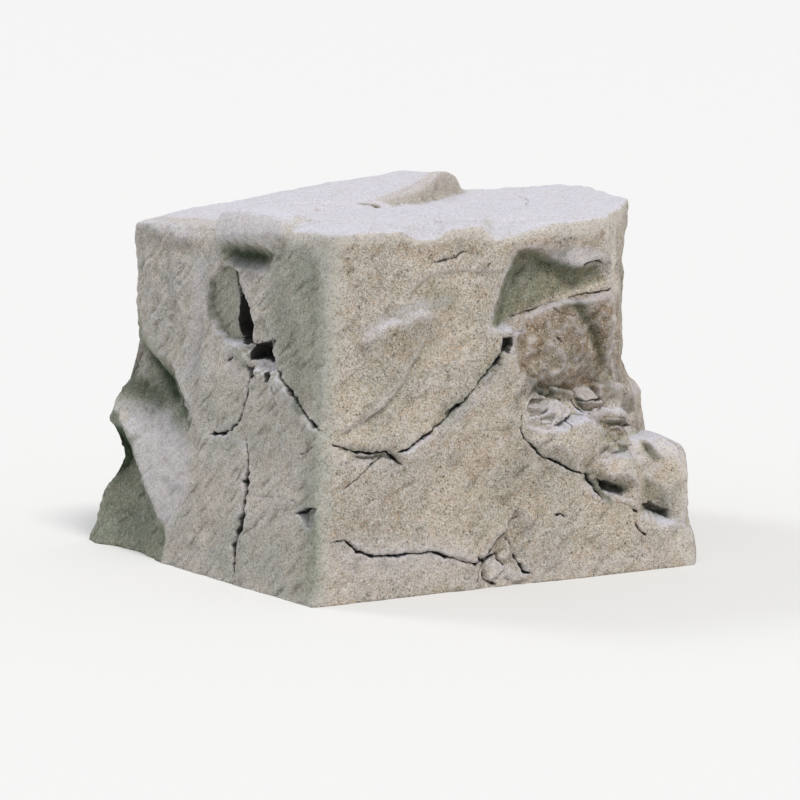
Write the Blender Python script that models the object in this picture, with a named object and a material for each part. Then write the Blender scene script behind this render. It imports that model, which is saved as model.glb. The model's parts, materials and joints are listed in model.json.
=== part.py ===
"""Garden boulder: one squared, weathered block of stone, cut off flat where it meets the ground.

The block is laid out from the foot of its front corner edge.  Its long side runs to the right
along +X and its short side runs back to the left.  Each side has a plan line, a lean and a list
of break lines: points read as (along, up, out) in centimetres, where out is how far the stone
stands proud of the plain leaning side.  Hulls give the main mass and its steps, break lines give
the ledges, hollows and lumps, and seams and chips are cut last.
"""

import bmesh
import bpy
import numpy as np
from mathutils import Matrix, Vector, noise
from mathutils.geometry import delaunay_2d_cdt

CM = 0.01

# Driving dimensions, in metres.
LONG_SIDE = 1.094
SHORT_SIDE = 1.070
EDGE_HEIGHT = 0.884
LONG_LEAN = 0.067
SHORT_LEAN = 0.100
BACK_LEAN = 0.115
SHORT_HEADING = (-0.139, 0.990)
BACK_HEADING = (0.999, 0.010)
DECK_HEIGHT = 0.893
FOOTING = 0.060

# The middle of the boulder's footprint box, seen from the foot of the front corner edge.
MIDDLE = Vector((0.610, 0.5306, 0.0))

# Making sizes, in metres unless they are counts.
GRAIN = 0.008
ROUNDING_PASSES = 5
SIDE_BLEND = 0.060
TRIANGLES = 9400


class Side:
    """One side of the block: where it starts, which way it runs, which way it faces, its lean."""

    def __init__(self, start, heading, upward, outward, lean=0.0):
        self.start = np.array(start, dtype=float)
        self.heading = unit(heading)
        self.upward = np.array(upward, dtype=float)
        self.outward = unit(outward)
        self.lean = lean

    def place(self, along, up, out=0.0):
        """The point that lies so far along, up and out on this side."""
        base = self.start + self.heading * along + self.upward * up
        return Vector(base + self.outward * (out - self.lean * up))

    def read(self, points):
        """How far along, up and behind the plain side each point lies."""
        offset = points - self.start
        along = offset @ self.heading
        up = offset @ self.upward
        behind = -(offset @ self.outward) - self.lean * up
        return along, up, behind


def unit(direction):
    """The direction as an array of length one."""
    array = np.array(direction, dtype=float)
    return array / np.linalg.norm(array)


UP = (0.0, 0.0, 1.0)
BACK_LEFT_FOOT = (SHORT_HEADING[0] * SHORT_SIDE, SHORT_HEADING[1] * SHORT_SIDE, 0.0)
LONG = Side((0, 0, 0), (1, 0, 0), UP, (0, -1, 0), LONG_LEAN)
SHORT = Side((0, 0, 0), (*SHORT_HEADING, 0), UP, (-SHORT_HEADING[1], SHORT_HEADING[0], 0), SHORT_LEAN)
BACK = Side(BACK_LEFT_FOOT, (*BACK_HEADING, 0), UP, (-BACK_HEADING[1], BACK_HEADING[0], 0), BACK_LEAN)
END = Side((0.925, 0.0, 0.0), (0.354, 0.935, 0.0), UP, (0.935, -0.354, 0.0))
DECK = Side((0, 0, DECK_HEIGHT), (1, 0, 0), (0, 1, 0), UP)


# ---------------------------------------------------------------------------------------------
# Main masses: each is the hull of its corners, in metres.
# ---------------------------------------------------------------------------------------------

def upper_mass():
    """The squared block from the ground to its flat top."""
    feet = [(0, 0), (0.925, 0), (1.14, 0.46), (1.30, 1.06), BACK_LEFT_FOOT[:2]]
    top = [LONG.place(0.082, EDGE_HEIGHT), (0.857, 0.062, 0.892), (0.900, 0.046, 0.690),
           (1.166, 0.455, 0.898), (1.24, 0.80, 0.902), (1.27, 0.94, 0.893), (0.95, 0.95, 0.886),
           (0.22, 0.95, 0.889), (0.10, 0.94, 0.878), SHORT.place(0.924, 0.849),
           SHORT.place(0.540, 0.868), (0.13, 0.15, 0.896)]
    return standing(feet) + top


def shelf_mass():
    """The shelf under the right end, at knee height."""
    feet = [(0.80, 0.03), (1.10, 0.25), (1.22, 0.45), (1.36, 0.98), (0.90, 1.03)]
    top = [(0.90, 0.09, 0.44), (1.092, 0.285, 0.445), (1.180, 0.45, 0.415), (1.30, 0.86, 0.36),
           (1.00, 0.94, 0.50), (1.112, 0.285, 0.30), (1.21, 0.46, 0.27)]
    return standing(feet) + top


def step_mass():
    """The low block at the foot of the right end."""
    feet = [(0.80, 0.0), (1.080, 0.0), (1.20, 0.22), (1.25, 0.42), (0.95, 0.60)]
    top = [(0.90, 0.045, 0.325), (1.015, 0.045, 0.320), (1.062, 0.040, 0.305), (1.080, 0.020, 0.258),
           (1.05, 0.16, 0.325), (1.155, 0.18, 0.283), (1.19, 0.40, 0.22), (1.00, 0.50, 0.33)]
    return standing(feet) + top


def toe_mass():
    """The toe that the right end stands on."""
    feet = [(0.86, 0.0), (LONG_SIDE, 0.0), (1.25, 0.26), (1.24, 0.50), (0.95, 0.50)]
    top = [(0.86, 0.008, 0.12), (1.035, 0.010, 0.115), (LONG_SIDE, 0.010, 0.085),
           (1.22, 0.27, 0.10), (1.20, 0.48, 0.08)]
    return standing(feet) + top


def wedge_mass():
    """The raised wedge on top, which runs on to the left as a low swell."""
    foot = [(0.545, 0.520, 0.890), (0.875, 0.824, 0.885), (0.945, 0.950, 0.885)]
    crest = [(0.560, 0.590, 0.925), (0.748, 0.723, 0.953), (0.862, 0.835, 0.940),
             (0.905, 0.945, 0.938), (0.741, 0.950, 0.950)]
    swell = [(0.567, 0.950, 0.931), (0.412, 0.950, 0.911), (0.224, 0.945, 0.889),
             (0.35, 0.55, 0.885), (0.10, 0.70, 0.880)]
    return foot + crest + swell


# The front end face of each mass: its side and how high the mass reaches there.
END_FACES = [
    (Side((0.925, 0.0, 0.0), (0.424, 0.906, 0.0), UP, (0.906, -0.424, 0.0), 0.03), 0.90),
    (Side((1.080, 0.23, 0.0), (0.424, 0.906, 0.0), UP, (0.906, -0.424, 0.0), 0.0), 0.44),
    (Side((1.080, 0.0, 0.0), (0.514, 0.858, 0.0), UP, (0.858, -0.514, 0.0), 0.0), 0.33),
    (Side((LONG_SIDE, 0.0, 0.0), (0.514, 0.858, 0.0), UP, (0.858, -0.514, 0.0), 0.0), 0.10),
]


def end_depth(points):
    """How far each point lies inside the right end of the mass that it belongs to."""
    depth = np.full(len(points), -1.0)
    for side, top in END_FACES:
        behind = side.read(points)[2]
        depth = np.maximum(depth, np.minimum(behind, top - points[:, 2]))
    return depth


def standing(feet):
    """The corners of a foot outline at the ground and again below it."""
    ground = [(x, y, 0.0) for x, y in feet]
    below = [(x, y, -FOOTING) for x, y in feet]
    return ground + below


# ---------------------------------------------------------------------------------------------
# Break lines: (along, up, out) in centimetres on each side.
# ---------------------------------------------------------------------------------------------

LONG_BREAKS = {
    # Plain stone around the bay and the rubble under it.
    "plain left": [(57, 88, 0), (53, 80, 0), (49, 70, 0), (47, 62, 0), (52, 52, 0), (55, 42, 0),
                   (58, 34, 0), (66, 28, 0), (75, 24, 0), (82, 19, 0), (92, 14, 0), (99, 11, 0),
                   (103, 6, 0), (112, -4, 0)],
    "plain top": [(57, 94, 0), (75, 94, 0), (96, 94, 0), (88, 86.5, -0.5), (72, 86, 0), (62, 86, 0)],
    "plain right": [(125, 94, 0), (125, 78, -2), (125, 60, -4), (125, 50, -6), (125, 36, -2),
                    (125, 20, -1), (125, -4, 0)],
    # The bay: its lip, its left wall and the roof that it undercuts.
    "lip": [(53.5, 62.5, 0), (51, 64.5, 0), (52, 67.5, 0), (54, 72.5, 0), (56.5, 77, 0),
            (59.5, 82.5, 0), (64, 82.5, 0), (69.5, 82, -1), (76, 82.5, -0.5), (83, 80.5, -1),
            (88, 78, -2)],
    "wall": [(55, 64, -3), (56, 66.5, -4), (58.5, 70.5, -5), (61.5, 74.5, -5.5), (63.5, 80, -5.5),
             (67.5, 80, -6), (71.5, 78, -6.5)],
    "pillow": [(73, 78.5, -4.5), (74.5, 77.5, -2), (78, 77.5, -1), (83, 79.5, -1)],
    "under pillow": [(72, 77, -6.5), (77, 75, -6), (81, 75, -5.5), (85.5, 76.5, -4.5)],
    "bay floor": [(63, 72, -5), (70.5, 72.5, -5.5), (79, 72.5, -5.5), (85.5, 73, -4.5),
                  (90, 72.5, -3)],
    "above seam": [(59, 65.5, -3.2), (63, 66.5, -3.4), (69.5, 68, -3.8), (75.5, 69.5, -4),
                   (80, 69.5, -4.2), (85.5, 70, -4), (91, 71, -3)],
    "below seam": [(58.5, 65, -2.6), (63, 65.5, -2.6), (69.5, 67.3, -2.6), (74.5, 68.5, -2.4),
                   (79, 68.5, -2.2), (84.5, 68.5, -2.4), (91, 69.5, -2)],
    "knob": [(53.5, 62.5, 0), (56, 62.5, 0.6), (58, 61, 0.4)],
    # The brown block below the bay and the shaded valley to its right.
    "block edge": [(58, 61, 0.4), (58.5, 59.5, 0), (58, 54, 0), (60.5, 51.5, 0), (63.5, 49.5, -0.5)],
    "block foot left": [(61, 59, -2), (61, 54, -2.5), (63, 51.5, -3), (66, 50, -3.5)],
    "block": [(68, 62, -2.2), (72, 58, -2.2), (74, 51.5, -3)],
    "block right": [(77, 62.5, -2.5), (80, 55.5, -3)],
    "valley": [(80, 67, -4), (83.5, 62, -6.5), (87, 58.5, -8), (88.5, 54.5, -8.5)],
    "right rib": [(87, 66, -3), (90, 62, -3), (91, 56.5, -4), (91, 53.5, -6)],
    "block foot": [(67.5, 48, -6), (73.5, 46.5, -7), (79.5, 45.5, -8), (85, 48.5, -8),
                   (90, 51, -9)],
    # Rubble ledges that step down and out to the lumps.
    "rubble high": [(61.5, 45.5, -2), (68.5, 44, -4), (73.5, 42.5, -4.5), (79, 42, -5.5),
                    (85.5, 43, -6), (92, 42, -6)],
    "rubble low": [(59.5, 42.5, -0.5), (65.5, 40.5, -2), (71, 38.5, -2.5), (75.5, 40, -3),
                   (79.5, 41, -3.5), (84.5, 40.5, -4), (91.5, 38, -4), (96, 35.5, -4)],
    "first lump top": [(59, 40, -0.2), (62.5, 37.5, 0), (70, 36, 0), (73.5, 37.5, 0), (77, 39, 0),
                       (80.5, 38, -0.2), (83.5, 34.5, -0.8)],
    "first lump": [(65.5, 34, 0.8), (71, 32.5, 0.8), (76, 29, 0.3), (77, 33, 0.6)],
    "second lump top": [(85, 36, -3), (89, 36, -3), (92, 33.5, -3)],
    "second lump": [(83.5, 29.5, -3), (86, 33, -3), (88.5, 31.5, -2.5), (91.5, 30.5, -3)],
    "third lump top": [(83, 28.5, -0.8), (88, 28.5, -0.6), (93, 27, -0.6), (96.5, 23, -0.8)],
    "third lump": [(85, 25, 0), (90, 24, 0.5), (93, 20.5, 0.3)],
    "third lump cave": [(82, 23.5, -2), (84, 22.5, -4), (87, 22, -3), (89.5, 21.5, -1)],
    # The chipped stone at the foot.
    "chip outline": [(44, -3, 0), (45, 6, 0), (49, 9, 0), (51, 11.5, 0), (54.5, 15, 0), (56.5, 19, 0),
                     (59.5, 17.5, 0), (60, 12, 0), (62, 7, 0), (63, -3, 0)],
    "chips": [(47, 3, -1.2), (50, 6, -2.2), (53, 9, -2.4), (56, 13, -2), (57.5, 16, -1.4)],
    "chip ridge": [(51, 1, -0.8), (54.5, 4.5, -1.2), (57, 9, -1)],
    # The step block at the right end, its groove and the gap under it.
    "groove": [(96.5, 32, -4), (98.5, 29.5, -4.5), (99.5, 27.5, -3)],
    "groove side": [(97.5, 32.5, -1.5), (99.5, 30, -1), (100.5, 27, -1)],
    "step top": [(98, 34, -5), (106, 33, -5), (108.5, 31, -4)],
    "step front": [(101, 28.5, -0.5), (106.5, 28, -1.5), (107, 23, -1), (101.5, 20, 0)],
    "gap": [(97.5, 15, -4), (101, 13.5, -4.5), (104, 11.5, -3)],
    "toe top": [(104, 11, -1.5), (107.5, 10, -1.5), (109, 8, -0.5)],
}

SHORT_BREAKS = {
    # Plain stone of the right-hand panel, and the panel's foot.
    "plain panel": [(22, 86, 0), (24, 78, 0), (27, 70, 0), (27, 60, 0), (30, 50, 0), (38, 42, 0),
                    (44, 34, 0), (47, 25, 0), (48, 12, 0), (50, -2, 0)],
    "plain foot": [(53.5, 23, 0), (58.5, 16, 0), (62.5, 10.5, 0), (66, 5, 0), (68, -2, 0)],
    # The brow that hangs over the hollow under the rim.
    "brow top": [(24, 92, 0), (28, 91.5, -2), (41.5, 91, -2), (53, 89.5, -2), (57, 88, -3)],
    "brow lip": [(23, 86, 0), (25.5, 86, 1.5), (36, 85, 3), (49, 84, 2.5), (54, 83.5, 0)],
    "hollow": [(28.5, 83.5, -1), (37, 82.5, -3), (43, 81, -5.5), (49.5, 81, -5.5), (54, 81, -3)],
    "hollow foot": [(33.5, 78.5, -0.8), (44, 77, -2.5), (51, 78, -2.5)],
    # The pilaster at the back, which ends in an undercut.
    "pilaster rim": [(72.5, 84, 0), (55, 83.5, 0)],
    "pilaster edge": [(54.5, 83, 0), (55.5, 79.5, 0), (58, 74, 0), (60, 68, 0), (61.5, 60, -0.5),
                      (63, 54.5, -1)],
    "pilaster crest": [(85, 78, 0), (82, 68, 0.3), (81, 60, 0)],
    "pilaster foot": [(90, 54, -3.5), (81.5, 52.5, -2.2), (73.5, 52, -2), (65, 50.5, -1.8)],
    "undercut": [(92, 49.5, -9), (86, 47, -9), (80.5, 44.5, -9), (75.5, 42.5, -8)],
    "crease": [(62.5, 60, -2), (64, 54, -2.8), (65, 48, -3)],
    # The sunk oval panel and the ledge at its foot.
    "panel top": [(53, 77.5, -2.5), (48, 76.5, -2.5)],
    "panel left": [(56, 76, -2.5), (60.5, 71.5, -3.5), (60, 65.5, -3.5), (56, 62.5, -3)],
    "panel middle": [(53, 70.5, -3.5), (49.5, 64.5, -4)],
    "panel right": [(47, 74.5, -3), (46.5, 70.5, -4), (46.5, 68, -5), (47, 62, -6)],
    "panel wall": [(41, 75.5, 0), (39, 71.5, 0), (37.5, 69, -0.3), (33.5, 65, -0.3),
                   (32, 59.5, -0.3)],
    "panel foot": [(52, 61, -3), (49.5, 58.8, -4), (44, 59.6, -6.5), (37, 60.5, -6)],
    "ledge": [(56.5, 62, -1.2), (51.5, 58.5, -0.8), (45.5, 58.4, -0.8), (35.5, 59.3, -1.2)],
    "below ledge": [(48, 56, -0.6), (40, 52, -0.3), (55, 50, -0.4)],
    # The far edge of the side, which swings in above the nose and under it, and its run beyond.
    "far edge": [(93, 85, 0), (94, 78, -1.5), (95, 69, -4), (97, 58, -6), (98, 52, -9),
                 (99, 44, -7.5), (100.5, 38, -3.5), (101.5, 32, -2.5), (102.5, 26, -5),
                 (103, 22, -10), (104.5, 16, -4.8), (105.5, 9, -3.2), (107, -2, -1)],
    "beyond": [(115, 88, 0), (115, 69, -4), (115, 58, -6), (115, 52, -9), (115, 44, -7.5),
               (115, 38, -3.5), (115, 32, -2.5), (115, 26, -5), (115, 22, -10), (115, 16, -4.8),
               (115, -2, -1)],
    # The nose, the scoop beside it and the ridge that both end in.
    "nose top": [(98, 43.5, -7), (94.5, 42, -6), (90, 40.5, -6.5)],
    "nose crest": [(100, 36, -2.5), (97, 35.5, -1), (93.5, 34.5, -0.6)],
    "scoop wall": [(67, 44.5, -1.8), (62, 41.5, -1.2), (58, 38, -0.8), (53.5, 34, -0.2)],
    "scoop": [(72, 40.5, -7), (67, 38.5, -5), (62.5, 35.5, -3.5), (57, 32, -1.3), (53.5, 29, -0.3)],
    "scoop floor": [(88, 36.5, -4.5), (81, 34, -5), (75, 29, -3.2), (69, 22.5, -1.2)],
    "ridge": [(93.5, 34.5, -0.6), (91, 32, -0.5), (86.5, 27, -0.6), (81.5, 22, -0.5),
              (76.5, 16.5, -0.3), (71.5, 12, -0.2), (67.5, 9, -0.2)],
    # The flank under the nose.
    "flank top": [(98, 23.5, -8.5), (93, 19, -8), (87.5, 14, -7), (81, 9.5, -5.5), (75, 6, -3.5)],
    "flank": [(101, 12, -4), (94, 8, -4.5), (86, 4, -4)],
    "flank foot": [(99, -2, 0.4), (93, -2, -1.5), (82, -2, -2.6), (72, -2, -0.8)],
}

BACK_BREAKS = {
    "left edge": [(0, 92, 0), (1, 62, -0.8), (1, 50, -3.5), (0, 42, -2.5), (0, 34, -0.4),
                  (-1, 23, -3.6), (-1, 15, -0.4), (-2, -4, 0)],
    "left run": [(10, 80, 0), (11, 50, -2), (10, 32, 0), (9, -4, 0)],
    "shoulder": [(20, 86, 0), (45, 82, 0), (70, 85, 0), (95, 80, 0), (120, 84, 0)],
    "spall lip": [(24, 74, 0.5), (40, 78, 0.6), (58, 72, 0.5), (74, 76, 0.4), (92, 66, 0.3)],
    "spall": [(30, 68, -3.5), (42, 72, -4.5), (57, 66, -6), (72, 70, -5), (86, 60, -3)],
    "spall foot": [(26, 52, -2), (40, 46, -3.5), (58, 48, -4), (80, 44, -1)],
    "ledge": [(14, 42, 0), (30, 39, 1), (52, 36, 2), (76, 33, 2.4), (98, 39, 1.5), (122, 33, 0)],
    "under ledge": [(18, 33, -2), (34, 29, -3), (55, 28, -2.5), (78, 24, -3.2), (100, 30, -2.5)],
    "right scar": [(104, 72, 0), (112, 66, -3), (118, 54, -4), (112, 46, -1)],
    "foot": [(4, -4, 0), (24, 6, -1), (46, 4, 0.5), (70, 8, 1.5), (96, 6, 0), (124, 10, -1),
             (146, -4, 0)],
    "right edge": [(128, 90, 0), (134, 60, 0), (140, 30, 0)],
}

END_BREAKS = {
    "near edge": [(0, 92, 0), (1, 80, -0.6), (2, 70, -1.6), (3, 60, -1.2), (3, 40, 0), (3, -4, 0)],
    "rim": [(20, 89, 0), (44, 89, 0), (70, 89, 0), (96, 88, 0)],
    "scar lip": [(22, 84, -0.4), (38, 82, -1), (52, 84, -0.8), (70, 81, 0.4), (88, 83, 0)],
    "scar": [(15, 74, -1.8), (26, 76, -2), (40, 74, -2.5), (52, 73, -3), (72, 70, -4.5),
             (86, 72, -2.5)],
    "scar foot": [(14, 62, -2.2), (26, 59, -3.2), (40, 61, -3.6), (54, 57, -3.5), (68, 50, -2.5),
                  (90, 56, 0)],
    "shelf back": [(12, 52, -3.2), (24, 50, -4), (36, 50, -3.6), (50, 47, -2), (80, 43, 0),
                   (100, 44, 0)],
    "shelf rim": [(14, 43, 0.2), (26, 42, 0.4), (48, 40, 0)],
    "low hollow": [(46, 34, -1), (58, 26, -4), (74, 22, -4.5), (88, 27, -2)],
    "low foot": [(44, 8, 0), (62, 6, -1), (84, 4, 0), (108, -4, 0)],
    "far edge": [(104, 90, 0), (106, 60, 0), (107, 30, 0)],
}

DECK_BREAKS = {
    "front": [(12, 24, 0), (30, 18, 0), (60, 18, 0), (90, 16, 0)],
    "rim": [(8, 4, -0.4), (28, 5, 0), (32, 5.5, -2.6), (36.5, 5.5, -2.3), (41, 5.5, -0.3),
            (50, 5.5, 0), (53, 5.5, -4), (58.5, 5.5, -3.6), (65, 5.5, -2), (74, 5.5, -1),
            (84, 5.5, 0)],
    "over rim": [(28, 1, 0), (32, 1, -2.6), (36.5, 1, -2.3), (41, 1, -0.3), (50, 1, 0), (53, 1, -4),
                 (58.5, 1, -3.6), (65, 1, -2), (84, 1, 0)],
    "behind rim": [(27, 13, 0), (34, 12, -1.2), (42, 13, 0), (50, 13, 0), (56, 14, -1.8),
                   (66, 13, -0.6), (84, 12, 0)],
    "brow rim": [(7, 23, 0), (5.5, 27, 2.4), (3.5, 40, 2.8), (1.5, 51, 2.4), (1, 54, 0)],
    "brow foot": [(2, 23, 0), (0, 27, 2.4), (-2, 40, 2.8), (-4, 51, 2.4), (-5, 54, 0)],
    "behind brow": [(16, 25, 0), (15, 38, 0.4), (13, 52, 0), (12, 60, 0)],
}

# ---------------------------------------------------------------------------------------------
# Seams, steps and pockets, in centimetres.
# ---------------------------------------------------------------------------------------------

# The long joints that cross the sides.
MAIN_JOINT = [(56, 60), (53, 56), (48.5, 52), (46, 48.5), (41, 45), (36.5, 41.5), (32, 38.5),
              (28, 36), (24, 35.4)]
CORNER_JOINT = [(7, 38.5), (10.5, 37), (13, 36.4), (17, 35.8), (21, 36), (23, 34.6), (26, 31.7)]
CORNER_FLAKE = [(20.5, 35), (19, 34), (15.5, 31.8), (12.5, 29.6), (10, 28), (7, 26.3)]
FOLD = [(7.4, 39.2), (12.3, 41.7), (17.3, 44.2), (21.4, 46.3), (25.7, 50.8), (29, 55.4),
        (31.8, 59.6), (33.5, 62.4), (34.4, 64.8)]
UPPER_FOLD = [(26.4, 71), (31.2, 74.4), (35.4, 77), (39, 77.8), (48.8, 77.1), (55.8, 77.2)]
SHELF_LINE = [(36.5, 69.5), (31.8, 69.8), (26.3, 68.4), (21.4, 67.5)]
FOOT_JOINT = [(6, 15.3), (9.5, 15.2), (12.5, 12.3), (16, 10.8), (23, 10.6), (33, 10.1),
              (38.5, 8.4), (44.5, 6.6), (48.5, 8), (50.5, 10.5), (54.5, 14), (56.5, 18)]
LUMP_JOINT = [(59, 39.5), (60, 36.2), (64.2, 31.4), (69.4, 29.2), (73.3, 26.7), (76.5, 25.9)]
UPRIGHT_JOINT = [(33.4, 36.1), (32, 32), (31.8, 25), (32, 16.6), (33.8, 10.4), (34.5, 1.8)]
PANEL_JOINT = [(42, 75.2), (40, 71.4), (38.8, 69.3), (36, 67.4), (34.2, 64.8), (34, 60.2)]
MIDDLE_JOINT = [(33.6, 53.6), (34.6, 48), (36.4, 42), (38, 39.5), (41, 37.1)]
CORNER_DIAGONAL = [(23.3, 54.8), (16.7, 50.7), (11, 46.5), (5.4, 42.6), (2, 41.9)]

# A seam: its line, the half width at its widest, its depth.
SEAMS = {
    "long": [(MAIN_JOINT, 0.8, 1.5), (CORNER_JOINT, 1.0, 2.4), (CORNER_FLAKE, 1.0, 0.9),
             (FOOT_JOINT, 0.8, 1.5), ([(50, 8.6), (52, 6.2), (54, 4.5)], 0.9, 1.4),
             ([(55, 8.1), (57, 5.4), (60.5, 1.4)], 0.9, 1.4), (LUMP_JOINT, 1.0, 1.8),
             ([(77, 24.9), (80, 22.1), (82, 19.4)], 1.0, 1.5),
             ([(88, 19.2), (93, 16), (98, 14.5)], 0.9, 1.4)],
    "short": [(PANEL_JOINT, 1.0, 2.4), (MIDDLE_JOINT, 0.9, 1.6), ([(41, 37.1), (50, 35.5)], 1.0, 1.6),
              (UPRIGHT_JOINT, 1.0, 2.2), (CORNER_DIAGONAL, 0.9, 1.4)],
    "back": [([(52, 88), (49, 78), (54, 66), (50, 52), (53, 40)], 1.0, 1.6),
             ([(98, 84), (102, 66), (96, 48), (99, 30), (95, 6)], 1.1, 1.8),
             ([(12, 58), (28, 54), (40, 47)], 0.9, 1.2)],
    "end": [([(60, 85), (63, 70), (58, 58), (61, 47)], 1.0, 1.6),
            ([(28, 60), (42, 55), (58, 58)], 0.9, 1.2)],
    "deck": [([(49.5, 61), (45, 50), (41, 40), (35.5, 27.5)], 0.7, 0.8)],
}

# A step: its line, how far the stone to the left of the line stands proud, over what width it
# rises, and how far from the line it has died away.
STEPS = {
    "long": [(MAIN_JOINT, 1.2, 1.0, 13), (CORNER_JOINT, 0.8, 1.0, 9), (FOLD, 0.7, 1.2, 12),
             (UPPER_FOLD, 0.7, 1.4, 9), (SHELF_LINE, 1.5, 2.6, 8), (FOOT_JOINT, 0.6, 1.0, 7)],
    "short": [(CORNER_DIAGONAL, 0.8, 1.0, 9), (UPRIGHT_JOINT, 0.5, 1.0, 10)],
    "back": [([(99, 30), (96, 48), (102, 66), (98, 84)], 1.4, 1.2, 16)],
    "end": [([(61, 47), (58, 58), (63, 70), (60, 85)], 1.2, 1.2, 14)],
    "deck": [([(8, 62), (24, 55), (40, 52), (54, 50)], 1.0, 4.0, 30)],
}

# A pocket: its outline and its depth.
POCKETS = {
    "long": [([(54.5, 61), (57, 60.5), (56.5, 57.5), (53.5, 57.5)], 2.0)],
    "short": [([(39.2, 69.3), (36, 67.6), (34, 64.8), (33.8, 60), (44, 59), (40.5, 63.5),
                (40, 66.5)], 5.0),
              ([(33, 59.6), (24, 61.4), (24.5, 56), (33.4, 56.4)], 7.0),
              ([(9, 21.4), (7.3, 22.8), (1.8, 23.5), (2.6, 18), (6, 18.2)], 2.6)],
    "back": [],
    "end": [],
    "deck": [],
}

# Waves in the skin of each side: (wave length, height) in metres, coarse then fine.
WAVES = {
    "long": [(0.22, 0.004), (0.08, 0.002)],
    "short": [(0.20, 0.005), (0.08, 0.0025)],
    "back": [(0.26, 0.012), (0.10, 0.005)],
    "end": [(0.24, 0.010), (0.10, 0.005)],
    "deck": [(0.30, 0.004), (0.09, 0.002)],
}


# ---------------------------------------------------------------------------------------------
# Making the stone.
# ---------------------------------------------------------------------------------------------

def clear_scene():
    """Start with nothing in the scene."""
    for thing in list(bpy.data.objects):
        bpy.data.objects.remove(thing, do_unlink=True)


def new_object(name, bm):
    """A scene object that holds the finished bmesh."""
    mesh = bpy.data.meshes.new(name)
    bm.to_mesh(mesh)
    bm.free()
    thing = bpy.data.objects.new(name, mesh)
    bpy.context.collection.objects.link(thing)
    return thing


def hull(name, corners):
    """A convex block around the corners."""
    bm = bmesh.new()
    for corner in corners:
        bm.verts.new(corner)
    made = bmesh.ops.convex_hull(bm, input=bm.verts)
    inside = [item for item in made["geom_interior"] if isinstance(item, bmesh.types.BMVert)]
    bmesh.ops.delete(bm, geom=inside, context="VERTS")
    bmesh.ops.recalc_face_normals(bm, faces=bm.faces)
    return new_object(name, bm)


def hide(cutter):
    """Keep a helper out of the model."""
    cutter.hide_render = True
    cutter.display_type = "WIRE"
    return cutter


def join_block(stone, block):
    """Fuse another block to the stone."""
    fuse = stone.modifiers.new(block.name, "BOOLEAN")
    fuse.operation = "UNION"
    fuse.solver = "EXACT"
    fuse.object = hide(block)


def finished_mesh(thing):
    """The object's mesh with its modifiers worked in."""
    evaluated = thing.evaluated_get(bpy.context.evaluated_depsgraph_get())
    return bpy.data.meshes.new_from_object(evaluated)


def rounded_mass():
    """The fused blocks with their edges weathered round."""
    stone = hull("boulder", upper_mass())
    for name, corners in (("shelf", shelf_mass()), ("step", step_mass()), ("toe", toe_mass()),
                          ("wedge", wedge_mass())):
        join_block(stone, hull(name, corners))
    remesh = stone.modifiers.new("Even grain", "REMESH")
    remesh.mode = "VOXEL"
    remesh.voxel_size = GRAIN
    smooth = stone.modifiers.new("Weathered edges", "SMOOTH")
    smooth.factor = 0.5
    smooth.iterations = ROUNDING_PASSES
    mesh = finished_mesh(stone)
    stone.modifiers.clear()
    stone.data = mesh
    return stone


class Relief:
    """The surface through a side's break lines, read at any place along and up."""

    def __init__(self, breaks):
        points = []
        edges = []
        heights = []
        for line in breaks.values():
            first = len(points)
            points += [Vector((along, up)) * CM for along, up, out in line]
            heights += [out * CM for along, up, out in line]
            edges += [(first + step, first + step + 1) for step in range(len(line) - 1)]
        net = delaunay_2d_cdt(points, edges, [], 0, 1e-5)
        self.points = np.array([tuple(point) for point in net[0]])
        self.triangles = [face for face in net[2] if len(face) == 3]
        self.heights = np.zeros(len(self.points))
        for place, sources in enumerate(net[3]):
            if sources:
                self.heights[place] = np.mean([heights[source] for source in sources])
            else:
                self.heights[place] = self.crossing_height(place, points, edges, heights)

    def crossing_height(self, place, points, edges, heights):
        """The height where two break lines cross: that of the nearest one there."""
        spot = self.points[place]
        best = (1e9, 0.0)
        for start, end in edges:
            first = np.array(points[start])
            run = np.array(points[end]) - first
            share = np.clip((spot - first) @ run / (run @ run), 0, 1)
            gap = np.linalg.norm(first + run * share - spot)
            best = min(best, (gap, heights[start] + (heights[end] - heights[start]) * share))
        return best[1]

    def read(self, along, up):
        """The height at each place, and zero outside the net."""
        out = np.zeros(len(along))
        for corners in self.triangles:
            a, b, c = self.points[list(corners)]
            near = np.flatnonzero((along >= min(a[0], b[0], c[0])) & (along <= max(a[0], b[0], c[0]))
                                  & (up >= min(a[1], b[1], c[1])) & (up <= max(a[1], b[1], c[1])))
            if not len(near):
                continue
            area = (b[0] - a[0]) * (c[1] - a[1]) - (c[0] - a[0]) * (b[1] - a[1])
            x = along[near] - a[0]
            y = up[near] - a[1]
            to_b = (x * (c[1] - a[1]) - y * (c[0] - a[0])) / area
            to_c = (y * (b[0] - a[0]) - x * (b[1] - a[1])) / area
            inside = (to_b >= 0) & (to_c >= 0) & (to_b + to_c <= 1)
            low, mid, high = self.heights[list(corners)]
            level = low + (mid - low) * to_b + (high - low) * to_c
            out[near[inside]] = level[inside]
        return out


def ease(value):
    """A smooth rise from 0 to 1."""
    value = np.clip(value, 0, 1)
    return value * value * (3 - 2 * value)


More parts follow.
